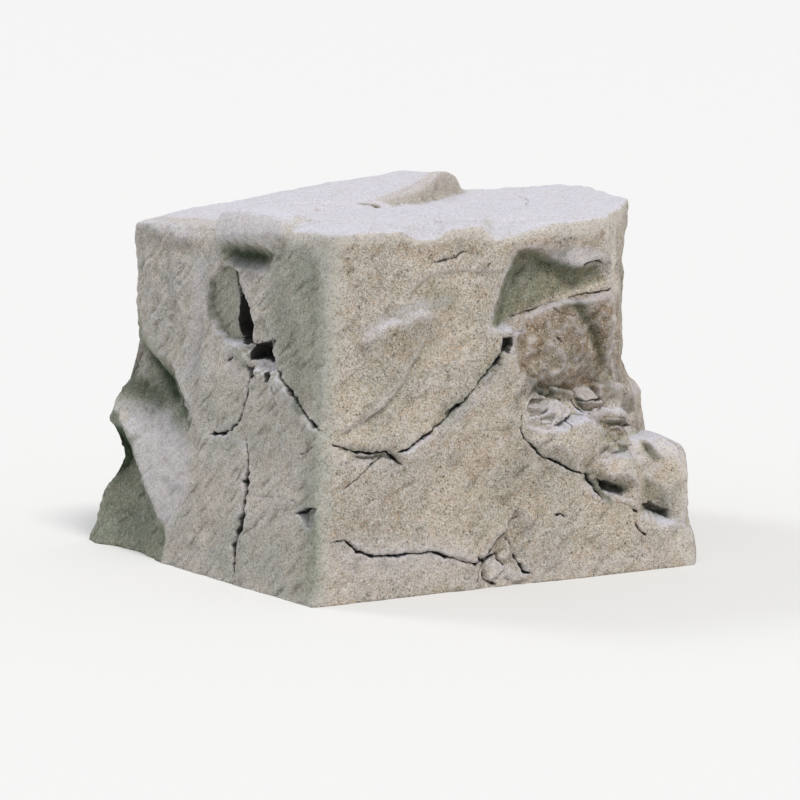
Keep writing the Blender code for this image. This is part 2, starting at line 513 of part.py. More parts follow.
def follow(along, up, line):
    """The nearest place on a line of points: the gap to it, its side, and its share of the way."""
    points = np.array(line) * CM
    runs = np.diff(points, axis=0)
    lengths = np.hypot(runs[:, 0], runs[:, 1])
    passed = np.concatenate([[0.0], np.cumsum(lengths)])
    gap = np.full(len(along), 1e9)
    left = np.zeros(len(along))
    way = np.zeros(len(along))
    for (x, y), run, length, before in zip(points, runs, lengths, passed):
        offset_x = along - x
        offset_y = up - y
        share = np.clip((offset_x * run[0] + offset_y * run[1]) / length ** 2, 0, 1)
        distance = np.hypot(offset_x - share * run[0], offset_y - share * run[1])
        nearer = distance < gap
        gap[nearer] = distance[nearer]
        left[nearer] = np.sign(run[0] * offset_y - run[1] * offset_x)[nearer]
        way[nearer] = ((before + share * length) / passed[-1])[nearer]
    return gap, left, way


def seam_depth(along, up, seams):
    """How deep the open seams cut at each place; a seam pinches out at its ends."""
    cut = np.zeros(len(along))
    for line, width, depth in seams:
        gap, left, way = follow(along, up, line)
        opening = 0.35 + 0.65 * ease(np.minimum(way, 1 - way) * 5)
        cut = np.maximum(cut, depth * CM * opening * (1 - ease(gap / (width * CM * opening))))
    return cut


def step_rise(along, up, steps):
    """How far the stone beside the steps stands proud at each place."""
    rise = np.zeros(len(along))
    for line, height, slope, reach in steps:
        gap, left, way = follow(along, up, line)
        fade = ease(gap / (slope * CM)) * (1 - ease(gap / (reach * CM)))
        ends = ease(np.minimum(way, 1 - way) * 8)
        rise += np.where(left > 0, height * CM * fade * ends, 0)
    return rise


def pocket_depth(along, up, pockets):
    """How deep the broken-out pockets go at each place."""
    cut = np.zeros(len(along))
    for outline, depth in pockets:
        closed = outline + outline[:1]
        gap = follow(along, up, closed)[0]
        inside = np.zeros(len(along), dtype=bool)
        for (x0, y0), (x1, y1) in zip(closed, closed[1:]):
            spans = (y0 * CM > up) != (y1 * CM > up)
            if y0 != y1:
                cross = x0 * CM + (up - y0 * CM) * (x1 - x0) / (y1 - y0)
                inside ^= spans & (along < cross)
        cut = np.maximum(cut, np.where(inside, depth * CM * ease(gap / (0.9 * CM)), 0))
    return cut


def side_share(behind, rivals):
    """How much of a side's relief each point takes: all on the side, none well behind it."""
    return 1 - ease((behind - np.minimum.reduce(rivals)) / SIDE_BLEND)


def wave_height(points, waves):
    """A soft, uneven swell."""
    height = np.zeros(len(points))
    for length, size in waves:
        height += size * np.array([noise.noise(Vector(point / length)) for point in points])
    return height


def carve(stone):
    """Move the skin of the rounded mass in and out by the relief of its sides."""
    mesh = stone.data
    flat = np.zeros(len(mesh.vertices) * 3)
    mesh.vertices.foreach_get("co", flat)
    points = flat.reshape(-1, 3)
    sides = {"long": (LONG, LONG_BREAKS), "short": (SHORT, SHORT_BREAKS), "back": (BACK, BACK_BREAKS),
             "end": (END, END_BREAKS), "deck": (DECK, DECK_BREAKS)}
    places = {name: side.read(points) for name, (side, breaks) in sides.items()}
    behind = {name: place[2] for name, place in places.items()}
    behind["end"] = end_depth(points)
    moved = points.copy()
    for name, (side, breaks) in sides.items():
        along, up = places[name][:2]
        share = side_share(behind[name], [behind[other] for other in sides if other != name])
        relief = Relief(breaks).read(along, up)
        relief += step_rise(along, up, STEPS[name])
        relief -= np.maximum(seam_depth(along, up, SEAMS[name]), pocket_depth(along, up, POCKETS[name]))
        relief += wave_height(points, WAVES[name])
        moved += side.outward * (share * relief)[:, None]
    mesh.vertices.foreach_set("co", moved.ravel())
    mesh.update()


def set_on_ground(stone):
    """Thin the skin to flat facets and cut the stone off flat at the ground."""
    thin = stone.modifiers.new("Facets", "DECIMATE")
    thin.ratio = TRIANGLES / sum(len(face.vertices) - 2 for face in stone.data.polygons)
    ground = hull("ground", [(x, y, z) for x in (-1, 2.5) for y in (-1, 2.5) for z in (-1, 0)])
    cut = stone.modifiers.new("Ground cut", "BOOLEAN")
    cut.operation = "DIFFERENCE"
    cut.solver = "EXACT"
    cut.object = hide(ground)
    mesh = finished_mesh(stone)
    stone.modifiers.clear()
    stone.data = mesh
    for helper in [thing for thing in bpy.data.objects if thing.hide_render]:
        bpy.data.objects.remove(helper, do_unlink=True)
    stone.data.transform(Matrix.Translation(-MIDDLE))


def stone_material():
    """Weathered, granite-like stone: warm grey-beige, dull and rough."""
    material = bpy.data.materials.new("weathered stone")
    material.use_nodes = True
    shader = material.node_tree.nodes["Principled BSDF"]
    shader.inputs["Base Color"].default_value = (0.42, 0.36, 0.29, 1.0)
    shader.inputs["Roughness"].default_value = 0.92
    shader.inputs["Metallic"].default_value = 0.0
    return material


def main():
    clear_scene()
    stone = rounded_mass()
    carve(stone)
    set_on_ground(stone)
    stone.data.materials.clear()
    stone.data.materials.append(stone_material())


main()
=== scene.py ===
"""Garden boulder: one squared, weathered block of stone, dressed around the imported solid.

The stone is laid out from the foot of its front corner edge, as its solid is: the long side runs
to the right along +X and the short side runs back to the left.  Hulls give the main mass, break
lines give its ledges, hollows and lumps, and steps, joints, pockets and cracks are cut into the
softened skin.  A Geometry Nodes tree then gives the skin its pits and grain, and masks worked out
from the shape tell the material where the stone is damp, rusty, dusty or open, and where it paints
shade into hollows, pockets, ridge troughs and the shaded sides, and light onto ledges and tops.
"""

import itertools
import json
import math

import bmesh
import bpy
import numpy as np
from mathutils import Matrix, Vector, noise
from mathutils.geometry import delaunay_2d_cdt

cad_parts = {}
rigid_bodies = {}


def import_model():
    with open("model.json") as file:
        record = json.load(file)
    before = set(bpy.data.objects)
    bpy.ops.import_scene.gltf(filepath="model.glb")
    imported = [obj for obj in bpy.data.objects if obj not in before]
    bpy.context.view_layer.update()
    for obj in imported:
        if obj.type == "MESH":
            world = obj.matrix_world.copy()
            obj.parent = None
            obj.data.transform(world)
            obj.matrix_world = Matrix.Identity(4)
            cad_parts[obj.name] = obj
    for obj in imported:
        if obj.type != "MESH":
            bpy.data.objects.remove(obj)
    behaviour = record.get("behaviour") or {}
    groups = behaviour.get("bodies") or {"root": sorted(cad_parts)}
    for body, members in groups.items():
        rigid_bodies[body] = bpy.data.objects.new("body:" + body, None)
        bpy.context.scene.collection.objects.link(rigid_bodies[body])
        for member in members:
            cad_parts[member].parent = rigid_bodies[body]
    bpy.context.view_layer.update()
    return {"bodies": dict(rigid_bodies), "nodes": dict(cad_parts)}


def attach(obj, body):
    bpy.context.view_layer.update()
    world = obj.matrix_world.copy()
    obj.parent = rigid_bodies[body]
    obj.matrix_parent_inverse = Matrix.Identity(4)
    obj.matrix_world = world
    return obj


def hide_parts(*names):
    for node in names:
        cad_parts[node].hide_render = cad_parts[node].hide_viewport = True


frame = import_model()

bl_info = {
    "name": "Garden Boulder",
    "version": (1, 0, 0),
    "blender": (4, 5, 0),
    "location": "3D View > Sidebar > Boulder",
    "description": "Makes a squared, weathered garden boulder on a plain stage",
    "category": "Add Mesh",
}

CM = 0.01
MM = 0.001

# Driving dimensions, in metres: the same as the solid's.
LONG_SIDE = 1.094
SHORT_SIDE = 1.070
EDGE_HEIGHT = 0.884
LONG_LEAN = 0.067
SHORT_LEAN = 0.100
BACK_LEAN = 0.115
SHORT_HEADING = (-0.139, 0.990)
BACK_HEADING = (0.999, 0.010)
DECK_HEIGHT = 0.893
FOOTING = 0.060
SIDE_BLEND = 0.060

# The middle of the boulder's footprint box, seen from the foot of the front corner edge.
MIDDLE = Vector((0.610, 0.5306, 0.0))


class Side:
    """One side of the block: where it starts, which way it runs, which way it faces, its lean."""

    def __init__(self, start, heading, upward, outward, lean=0.0):
        self.start = np.array(start, dtype=float)
        self.heading = unit(heading)
        self.upward = np.array(upward, dtype=float)
        self.outward = unit(outward)
        self.lean = lean

    def place(self, along, up, out=0.0):
        """The point that lies so far along, up and out on this side."""
        base = self.start + self.heading * along + self.upward * up
        return Vector(base + self.outward * (out - self.lean * up))

    def read(self, points):
        """How far along, up and behind the plain side each point lies."""
        offset = points - self.start
        along = offset @ self.heading
        up = offset @ self.upward
        behind = -(offset @ self.outward) - self.lean * up
        return along, up, behind


def unit(direction):
    """The direction as an array of length one."""
    array = np.array(direction, dtype=float)
    return array / np.linalg.norm(array)


UP = (0.0, 0.0, 1.0)
BACK_LEFT_FOOT = (SHORT_HEADING[0] * SHORT_SIDE, SHORT_HEADING[1] * SHORT_SIDE, 0.0)
LONG = Side((0, 0, 0), (1, 0, 0), UP, (0, -1, 0), LONG_LEAN)
SHORT = Side((0, 0, 0), (*SHORT_HEADING, 0), UP, (-SHORT_HEADING[1], SHORT_HEADING[0], 0),
             SHORT_LEAN)
BACK = Side(BACK_LEFT_FOOT, (*BACK_HEADING, 0), UP, (-BACK_HEADING[1], BACK_HEADING[0], 0),
            BACK_LEAN)
END = Side((0.925, 0.0, 0.0), (0.354, 0.935, 0.0), UP, (0.935, -0.354, 0.0))
DECK = Side((0, 0, DECK_HEIGHT), (1, 0, 0), (0, 1, 0), UP)


# ---------------------------------------------------------------------------------------------
# Main masses: each is the hull of its corners, in metres.
# ---------------------------------------------------------------------------------------------

def upper_mass():
    """The squared block from the ground to its flat top."""
    feet = [(0, 0), (0.925, 0), (1.14, 0.46), (1.30, 1.06), BACK_LEFT_FOOT[:2]]
    top = [LONG.place(0.082, EDGE_HEIGHT), (0.857, 0.062, 0.892), (0.900, 0.046, 0.690),
           (1.166, 0.455, 0.898), (1.24, 0.80, 0.902), (1.27, 0.94, 0.893), (0.95, 0.95, 0.886),
           (0.22, 0.95, 0.889), (0.10, 0.94, 0.878), SHORT.place(0.924, 0.849),
           SHORT.place(0.540, 0.868), (0.13, 0.15, 0.896)]
    return standing(feet) + top


def shelf_mass():
    """The shelf under the right end, at knee height."""
    feet = [(0.80, 0.03), (1.10, 0.25), (1.22, 0.45), (1.36, 0.98), (0.90, 1.03)]
    top = [(0.90, 0.09, 0.44), (1.092, 0.285, 0.445), (1.180, 0.45, 0.415), (1.30, 0.86, 0.36),
           (1.00, 0.94, 0.50), (1.112, 0.285, 0.30), (1.21, 0.46, 0.27)]
    return standing(feet) + top


def step_mass():
    """The low block at the foot of the right end."""
    feet = [(0.80, 0.0), (1.080, 0.0), (1.20, 0.22), (1.25, 0.42), (0.95, 0.60)]
    top = [(0.90, 0.045, 0.325), (1.015, 0.045, 0.320), (1.062, 0.040, 0.305),
           (1.080, 0.020, 0.258), (1.05, 0.16, 0.325), (1.155, 0.18, 0.283), (1.19, 0.40, 0.22),
           (1.00, 0.50, 0.33)]
    return standing(feet) + top


def toe_mass():
    """The toe that the right end stands on."""
    feet = [(0.86, 0.0), (LONG_SIDE, 0.0), (1.25, 0.26), (1.24, 0.50), (0.95, 0.50)]
    top = [(0.86, 0.008, 0.12), (1.035, 0.010, 0.115), (LONG_SIDE, 0.010, 0.085),
           (1.22, 0.27, 0.10), (1.20, 0.48, 0.08)]
    return standing(feet) + top


def wedge_mass():
    """The raised wedge on top, which runs on to the left as a low swell."""
    foot = [(0.545, 0.520, 0.890), (0.875, 0.824, 0.885), (0.945, 0.950, 0.885)]
    crest = [(0.560, 0.590, 0.925), (0.748, 0.723, 0.953), (0.862, 0.835, 0.940),
             (0.905, 0.945, 0.938), (0.741, 0.950, 0.950)]
    swell = [(0.567, 0.950, 0.931), (0.412, 0.950, 0.911), (0.224, 0.945, 0.889),
             (0.35, 0.55, 0.885), (0.10, 0.70, 0.880)]
    return foot + crest + swell


# The front end face of each mass: its side and how high the mass reaches there.
END_FACES = [
    (Side((0.925, 0.0, 0.0), (0.424, 0.906, 0.0), UP, (0.906, -0.424, 0.0), 0.03), 0.90),
    (Side((1.080, 0.23, 0.0), (0.424, 0.906, 0.0), UP, (0.906, -0.424, 0.0), 0.0), 0.44),
    (Side((1.080, 0.0, 0.0), (0.514, 0.858, 0.0), UP, (0.858, -0.514, 0.0), 0.0), 0.33),
    (Side((LONG_SIDE, 0.0, 0.0), (0.514, 0.858, 0.0), UP, (0.858, -0.514, 0.0), 0.0), 0.10),
]


def end_depth(points):
    """How far each point lies inside the right end of the mass that it belongs to."""
    depth = np.full(len(points), -1.0)
    for side, top in END_FACES:
        behind = side.read(points)[2]
        depth = np.maximum(depth, np.minimum(behind, top - points[:, 2]))
    return depth


def standing(feet):
    """The corners of a foot outline at the ground and again below it."""
    ground = [(x, y, 0.0) for x, y in feet]
    below = [(x, y, -FOOTING) for x, y in feet]
    return ground + below


# ---------------------------------------------------------------------------------------------
# Break lines: (along, up, out) in centimetres on each side.
# ---------------------------------------------------------------------------------------------

LONG_BREAKS = {
    # Plain stone around the bay and the rubble under it.
    "plain left": [(57, 88, 0), (53, 80, 0), (49, 70, 0), (47, 62, 0), (52, 52, 0), (55, 42, 0),
                   (58, 34, 0), (66, 28, 0), (75, 24, 0), (82, 19, 0), (92, 14, 0), (99, 11, 0),
                   (103, 6, 0), (112, -4, 0)],
    "plain top": [(57, 94, 0), (75, 94, 0), (96, 94, 0), (88, 86.5, -0.5), (72, 86, 0),
                  (62, 86, 0)],
    "plain right": [(125, 94, 0), (125, 78, -2), (125, 60, -4), (125, 50, -6), (125, 36, -2),
                    (125, 20, -1), (125, -4, 0)],
    # The bay: its lip, its left wall and the roof that it undercuts.
    "lip": [(53.5, 62.5, 0), (51, 64.5, 0), (52, 67.5, 0), (54, 72.5, 0), (56.5, 77, 0),
            (59.5, 82.5, 0), (64, 82.5, 0), (69.5, 82, -1), (76, 82.5, -0.5), (83, 80.5, -1),
            (88, 78, -2)],
    "wall": [(55, 64, -3), (56, 66.5, -4), (58.5, 70.5, -5), (61.5, 74.5, -5.5), (63.5, 80, -5.5),
             (67.5, 80, -6), (71.5, 78, -6.5)],
    "pillow": [(73, 78.5, -4.5), (74.5, 77.5, -2), (78, 77.5, -1), (83, 79.5, -1)],
    "under pillow": [(72, 77, -6.5), (77, 75, -6), (81, 75, -5.5), (85.5, 76.5, -4.5)],
    "bay floor": [(63, 72, -5), (70.5, 72.5, -5.5), (79, 72.5, -5.5), (85.5, 73, -4.5),
                  (90, 72.5, -3)],
    "above seam": [(59, 65.5, -3.2), (63, 66.5, -3.4), (69.5, 68, -3.8), (75.5, 69.5, -4),
                   (80, 69.5, -4.2), (85.5, 70, -4), (91, 71, -3)],
    "below seam": [(58.5, 65, -2.6), (63, 65.5, -2.6), (69.5, 67.3, -2.6), (74.5, 68.5, -2.4),
                   (79, 68.5, -2.2), (84.5, 68.5, -2.4), (91, 69.5, -2)],
    "knob": [(53.5, 62.5, 0), (56, 62.5, 0.6), (58, 61, 0.4)],
    # The brown block below the bay and the shaded valley to its right.
    "block edge": [(58, 61, 0.4), (58.5, 59.5, 0), (58, 54, 0), (60.5, 51.5, 0),
                   (63.5, 49.5, -0.5)],
    "block foot left": [(61, 59, -2), (61, 54, -2.5), (63, 51.5, -3), (66, 50, -3.5)],
    "block": [(68, 62, -2.2), (72, 58, -2.2), (74, 51.5, -3)],
    "block right": [(77, 62.5, -2.5), (80, 55.5, -3)],
    "valley": [(78.5, 67, -4), (82.5, 62, -5.4), (86, 57.5, -6.6), (87.5, 53, -7.6)],
    "right rib": [(86, 67, -2.8), (89, 62, -3), (91, 57, -4), (92, 53.5, -5.6)],
    "block foot": [(67.5, 48, -6), (73.5, 46.5, -7), (79.5, 45.5, -8), (85, 48.5, -8),
                   (90, 51, -9)],
    # Rubble ledges that step down and out to the lumps.
    "rubble high": [(61.5, 45.5, -2), (68.5, 44, -4), (73.5, 42.5, -4.5), (79, 42, -5.5),
                    (85.5, 43, -6), (92, 42, -6)],
    "rubble low": [(59.5, 42.5, -0.5), (65.5, 40.5, -2), (71, 38.5, -2.5), (75.5, 40, -3),
                   (79.5, 41, -3.5), (84.5, 40.5, -4), (91.5, 38, -4), (96, 35.5, -4)],
    "first lump top": [(59, 40, -0.2), (62.5, 38, 0.4), (66, 37.2, 0.8), (70, 37.2, 1.2),
                       (73, 38.8, 1.2), (77, 39.8, 1.0), (80.5, 38.4, 0.6), (83.5, 34.5, -0.8)],
    "first lump": [(64.5, 34.6, 1.6), (71, 33.4, 2.6), (74, 29.5, 1.8), (77.5, 35, 2.6)],
    "first lump side": [(82, 33, 0.4), (80.5, 30, 0.0), (78, 27.5, -0.6)],
    "second lump top": [(85, 36, -3), (89, 36, -3), (92, 33.5, -3)],
    "second lump": [(83.5, 29.8, -3), (86, 33, -2.4), (88.5, 31.5, -2.2), (91.5, 30.5, -2.8)],
    "third lump top": [(83, 28.2, -0.4), (88, 28.8, 0.2), (93, 27.6, 0.2), (96.5, 23, -0.8)],
    "third lump": [(84.5, 25, 0.6), (89.5, 25, 1.8), (93, 21.5, 1.4), (92, 18, 0.8)],
    "third lump cave": [(82, 23.5, -2), (84, 22.5, -4), (87, 22, -3), (89.5, 21.5, -1)],
    # The chipped stone at the foot.
    "chip outline": [(44, -3, 0), (45, 6, 0), (49, 9, 0), (51, 11.5, 0), (54.5, 15, 0),
                     (56.5, 19, 0), (59.5, 17.5, 0), (60, 12, 0), (62, 7, 0), (63, -3, 0)],
    "chips": [(47, 3, -1.2), (50, 6, -2.2), (53, 9, -2.4), (56, 13, -2), (57.5, 16, -1.4)],
    "chip ridge": [(51, 1, -0.8), (54.5, 4.5, -1.2), (57, 9, -1)],
    # The step block at the right end, its groove and the gap under it.
    "groove": [(96.5, 32, -4), (98.5, 29.5, -4.5), (99.5, 27.5, -3)],
    "groove side": [(97.5, 32.5, -1.5), (99.5, 30, -1), (100.5, 27, -1)],
    "step top": [(98, 34, -5), (106, 33, -5), (108.5, 31, -4)],
    "step front": [(101, 28.5, -0.5), (106.5, 28, -1.5), (107, 23, -1), (101.5, 20, 0)],
    "gap": [(97.5, 15, -4), (101, 13.5, -4.5), (104, 11.5, -3)],
    "toe top": [(104, 11, -1.5), (107.5, 10, -1.5), (109, 8, -0.5)],
}

SHORT_BREAKS = {
    # Plain stone of the right-hand panel, and the panel's foot.
    "plain panel": [(22, 86, 0), (24, 78, 0), (27, 70, 0), (27, 60, 0), (30, 50, 0), (38, 42, 0),
                    (44, 34, 0), (47, 25, 0), (48, 12, 0), (50, -2, 0)],
    "plain foot": [(53.5, 23, 0), (58.5, 16, 0), (62.5, 10.5, 0), (66, 5, 0), (68, -2, 0)],
    # The brow that hangs over the hollow under the rim.
    "brow top": [(24, 92, 0), (28, 91.5, -2), (41.5, 91, -2), (53, 89.5, -2), (57, 88, -3)],
    "brow lip": [(22.5, 86, 0), (24, 86, 1.8), (36, 85.4, 2.8), (50.5, 84.4, 2.6), (53.5, 83.6, 0)],
    "hollow": [(26.5, 82.5, -0.6), (32, 81.2, -3.2), (39, 80.2, -4.8), (46, 80.2, -4.8),
               (51, 80.8, -1.6)],
    "hollow foot": [(30, 77.2, -0.6), (41, 77, -1.3), (49.5, 78.4, -1.3)],
    # The pilaster at the back, which ends in an undercut.
    "pilaster rim": [(72.5, 84, 0), (56, 84, 0)],
    "pilaster edge": [(56, 84, 0), (58.5, 80, 0), (61.5, 75, 0), (62.6, 70, 0.2), (63.4, 60, -0.2),
                      (65, 54.5, -1)],
    "pilaster crest": [(85, 78, 0), (82, 68, 0.3), (81, 60, 0)],
    "pilaster foot": [(90, 54, -3.5), (81.5, 52.5, -2.2), (73.5, 52, -2), (65, 50.5, -1.8)],
    "undercut": [(92, 49.5, -9), (86, 47, -9), (80.5, 44.5, -9), (75.5, 42.5, -8)],
    "crease": [(60, 60, -2.2), (61.5, 54, -2.8), (64, 48, -3)],
    # The sunk oval panel and the ledge at its foot.
    "panel top": [(52.5, 77.8, -1.3), (47.5, 77.4, -1.1)],
    "panel left": [(56.5, 76.6, -1.2), (59, 74, -1.3), (59.2, 70, -1.4), (59, 66, -1.4),
                   (56, 62.6, -1.3), (50.5, 59, -1.2)],
    "panel middle": [(53, 70.5, -3.3), (49.5, 64.5, -3.6)],
    "panel right": [(47, 74.5, -3), (46.5, 70.5, -4), (46.5, 68, -5), (47, 62, -6)],
    "panel wall": [(41, 75.5, 0), (39, 71.5, 0), (37.5, 69, -0.3), (33.5, 65, -0.3),
                   (32, 59.5, -0.3)],
    "panel foot": [(44, 59.8, -5), (37, 60.5, -5.5)],
    "ledge": [(49, 57.8, -1), (45.5, 58, -0.8), (35.5, 59.3, -1.2)],
    "below ledge": [(48, 56, -0.6), (40, 52, -0.3), (55, 50, -0.4)],
    # The far edge of the side, which swings in above the nose and under it, and its run beyond.
    "far edge": [(93, 85, 0), (94, 78, -1.5), (95, 69, -4), (97, 58, -6), (98, 52, -9),
                 (99, 44, -7.5), (100.5, 38, -3.5), (101.5, 32, -2.5), (102.5, 26, -5),
                 (103, 22, -10), (104.5, 16, -4.8), (105.5, 9, -3.2), (107, -2, -1)],
    "beyond": [(115, 88, 0), (115, 69, -4), (115, 58, -6), (115, 52, -9), (115, 44, -7.5),
               (115, 38, -3.5), (115, 32, -2.5), (115, 26, -5), (115, 22, -10), (115, 16, -4.8),
               (115, -2, -1)],
    # The nose, the scoop beside it and the ridge that both end in.
    "nose top": [(98, 43.5, -7), (94.5, 42, -6), (90, 40.5, -6.5)],
    "nose crest": [(100, 36, -2.5), (97, 35.5, -1), (93.5, 34.5, -0.6)],
    "scoop wall": [(67, 44.5, -1.8), (62, 41.5, -1.2), (58, 38, -0.8), (53.5, 34, -0.2)],
    "scoop": [(72, 40.5, -7), (67, 38.5, -5), (62.5, 35.5, -3.5), (57, 32, -1.3), (53.5, 29, -0.3)],
    "scoop floor": [(88, 36.5, -4.5), (81, 34, -5), (75, 29, -3.2), (69, 22.5, -1.2)],
    "ridge": [(93.5, 34.5, -0.6), (91, 32, -0.5), (86.5, 27, -0.6), (81.5, 22, -0.5),
              (76.5, 16.5, -0.3), (71.5, 12, -0.2), (67.5, 9, -0.2)],
    # The flank under the nose.
    "flank top": [(98, 23.5, -8.5), (93, 19, -8), (87.5, 14, -7), (81, 9.5, -5.5), (75, 6, -3.5)],
    "flank": [(101, 12, -4), (94, 8, -4.5), (86, 4, -4)],
    "flank foot": [(99, -2, 0.4), (93, -2, -1.5), (82, -2, -2.6), (72, -2, -0.8)],
}

BACK_BREAKS = {
    "left edge": [(0, 92, 0), (1, 62, -0.8), (1, 50, -3.5), (0, 42, -2.5), (0, 33, -0.2),
                  (-1, 27.5, -4), (-1, 22.5, -7.5), (-1, 18, -4), (-1, 13, -0.4), (-2, -4, 0)],
    "left run": [(10, 80, 0), (11, 50, -2), (10, 33, 0), (10, 28, -3.5), (10, 23, -6.5),
                 (10, 18, -3), (9, 13, 0), (9, -4, 0)],
    "shoulder": [(20, 86, 0), (45, 82, 0), (70, 85, 0), (95, 80, 0), (120, 84, 0)],
    "spall lip": [(24, 74, 0.5), (40, 78, 0.6), (58, 72, 0.5), (74, 76, 0.4), (92, 66, 0.3)],
    "spall": [(30, 68, -3.5), (42, 72, -4.5), (57, 66, -6), (72, 70, -5), (86, 60, -3)],
    "spall foot": [(26, 52, -2), (40, 46, -3.5), (58, 48, -4), (80, 44, -1)],
    "ledge": [(14, 42, 0), (30, 39, 1), (52, 36, 2), (76, 33, 2.4), (98, 39, 1.5), (122, 33, 0)],
    "under ledge": [(20, 26, -3.5), (34, 28, -3), (55, 28, -2.5), (78, 24, -3.2), (100, 30, -2.5)],
    "right scar": [(104, 72, 0), (112, 66, -3), (118, 54, -4), (112, 46, -1)],
    "foot": [(4, -4, 0), (24, 6, -1), (46, 4, 0.5), (70, 8, 1.5), (96, 6, 0), (124, 10, -1),
             (146, -4, 0)],
    "right edge": [(128, 90, 0), (134, 60, 0), (140, 30, 0)],
}

END_BREAKS = {
    "near edge": [(0, 92, 0), (1, 80, -0.6), (2, 70, -1.6), (3, 60, -1.2), (3, 40, 0), (3, -4, 0)],
    "rim": [(20, 89, 0), (44, 89, 0), (70, 89, 0), (96, 88, 0)],
    "scar lip": [(22, 84, -0.4), (38, 82, -1), (52, 84, -0.8), (70, 81, 0.4), (88, 83, 0)],
    "scar": [(15, 74, -1.8), (26, 76, -2), (40, 74, -2.5), (52, 73, -3), (72, 70, -4.5),
             (86, 72, -2.5)],
    "scar foot": [(14, 62, -2.2), (26, 59, -3.2), (40, 61, -3.6), (54, 57, -3.5), (68, 50, -2.5),
                  (90, 56, 0)],
    "shelf back": [(12, 52, -3.2), (24, 50, -4), (36, 50, -3.6), (50, 47, -2), (80, 43, 0),
                   (100, 44, 0)],
    "shelf rim": [(14, 43, 0.2), (26, 42, 0.4), (48, 40, 0)],
    "low hollow": [(46, 34, -1), (58, 26, -4), (74, 22, -4.5), (88, 27, -2)],
    "low foot": [(44, 8, 0), (62, 6, -1), (84, 4, 0), (108, -4, 0)],
    "far edge": [(104, 90, 0), (106, 60, 0), (107, 30, 0)],
}

DECK_BREAKS = {
    "front": [(12, 24, 0), (30, 18, 0), (60, 18, 0), (90, 16, 0)],
    "rim": [(8, 4, -0.4), (28, 5, 0), (32, 5.5, -2.6), (36.5, 5.5, -2.3), (41, 5.5, -0.3),
            (50, 5.5, 0), (53, 5.5, -4), (58.5, 5.5, -3.6), (65, 5.5, -2), (74, 5.5, -1),
            (84, 5.5, 0)],
    "over rim": [(28, 1, 0), (32, 1, -2.6), (36.5, 1, -2.3), (41, 1, -0.3), (50, 1, 0), (53, 1, -4),
                 (58.5, 1, -3.6), (65, 1, -2), (84, 1, 0)],
    "behind rim": [(27, 13, 0), (34, 12, -1.2), (42, 13, 0), (50, 13, 0), (56, 14, -1.8),
                   (66, 13, -0.6), (84, 12, 0)],
    "brow rim": [(7, 23, 0), (5.5, 25.5, 3.0), (3.5, 40, 4.2), (1.5, 52, 3.6), (1, 54.5, 0)],
    "brow crown": [(10, 23.5, 0.4), (9.5, 26.5, 3.2), (8, 40, 4.4), (6, 51.5, 3.8),
                   (5.5, 54.5, 0.4)],
    "brow foot": [(2, 23, 0), (0, 25.5, 3.0), (-2, 40, 4.2), (-4, 52, 3.6), (-5, 54.5, 0)],
    "behind brow": [(15, 25, 0), (14, 38, 0.6), (12, 52, 0.2), (11, 60, 0)],
}

# ---------------------------------------------------------------------------------------------
# Seams, steps and pockets, in centimetres.
# ---------------------------------------------------------------------------------------------

# The long joints that cross the sides.
MAIN_JOINT = [(56, 60), (53, 56), (48.5, 52), (46, 48.5), (41, 45), (36.5, 41.5), (32, 38.5),
              (28, 36), (24, 35.4)]
CORNER_JOINT = [(7, 38.5), (10.5, 37), (13, 36.4), (17, 35.8), (21, 36), (23, 34.6), (26, 31.7)]
CORNER_FLAKE = [(20.5, 35), (19, 34), (15.5, 31.8), (12.5, 29.6), (10, 28), (7, 26.3)]
FOLD = [(7.4, 39.2), (12.3, 41.7), (17.3, 44.2), (21.4, 46.3), (25.7, 50.8), (29, 55.4),
        (31.8, 59.6), (33.5, 62.4), (34.4, 64.8)]
UPPER_FOLD = [(26.4, 71), (31.2, 74.4), (35.4, 77), (39, 77.8), (48.8, 77.1), (55.8, 77.2)]
SHELF_LINE = [(36.5, 69.5), (31.8, 69.8), (26.3, 68.4), (21.4, 67.5), (17, 65.3), (13, 62.6)]
FOOT_JOINT = [(6, 15.3), (9.5, 15.2), (12.5, 12.3), (16, 10.8), (23, 10.6), (33, 10.1),
              (38.5, 8.4), (44.5, 6.6), (48.5, 8), (50.5, 10.5), (54.5, 14), (56.5, 18)]
LUMP_JOINT = [(59, 39.5), (60, 36.2), (64.2, 31.4), (69.4, 29.2), (73.3, 26.7), (76.5, 25.9)]
UPRIGHT_JOINT = [(33.4, 36.1), (32, 32), (31.8, 25), (32, 16.6), (33.8, 10.4), (34.5, 1.8)]
MIDDLE_JOINT = [(33.6, 53.6), (34.6, 48), (36.4, 42), (38, 39.5), (41, 37.1)]
CORNER_DIAGONAL = [(23.3, 54.8), (16.7, 50.7), (11, 46.5), (5.4, 42.6), (2, 41.9)]

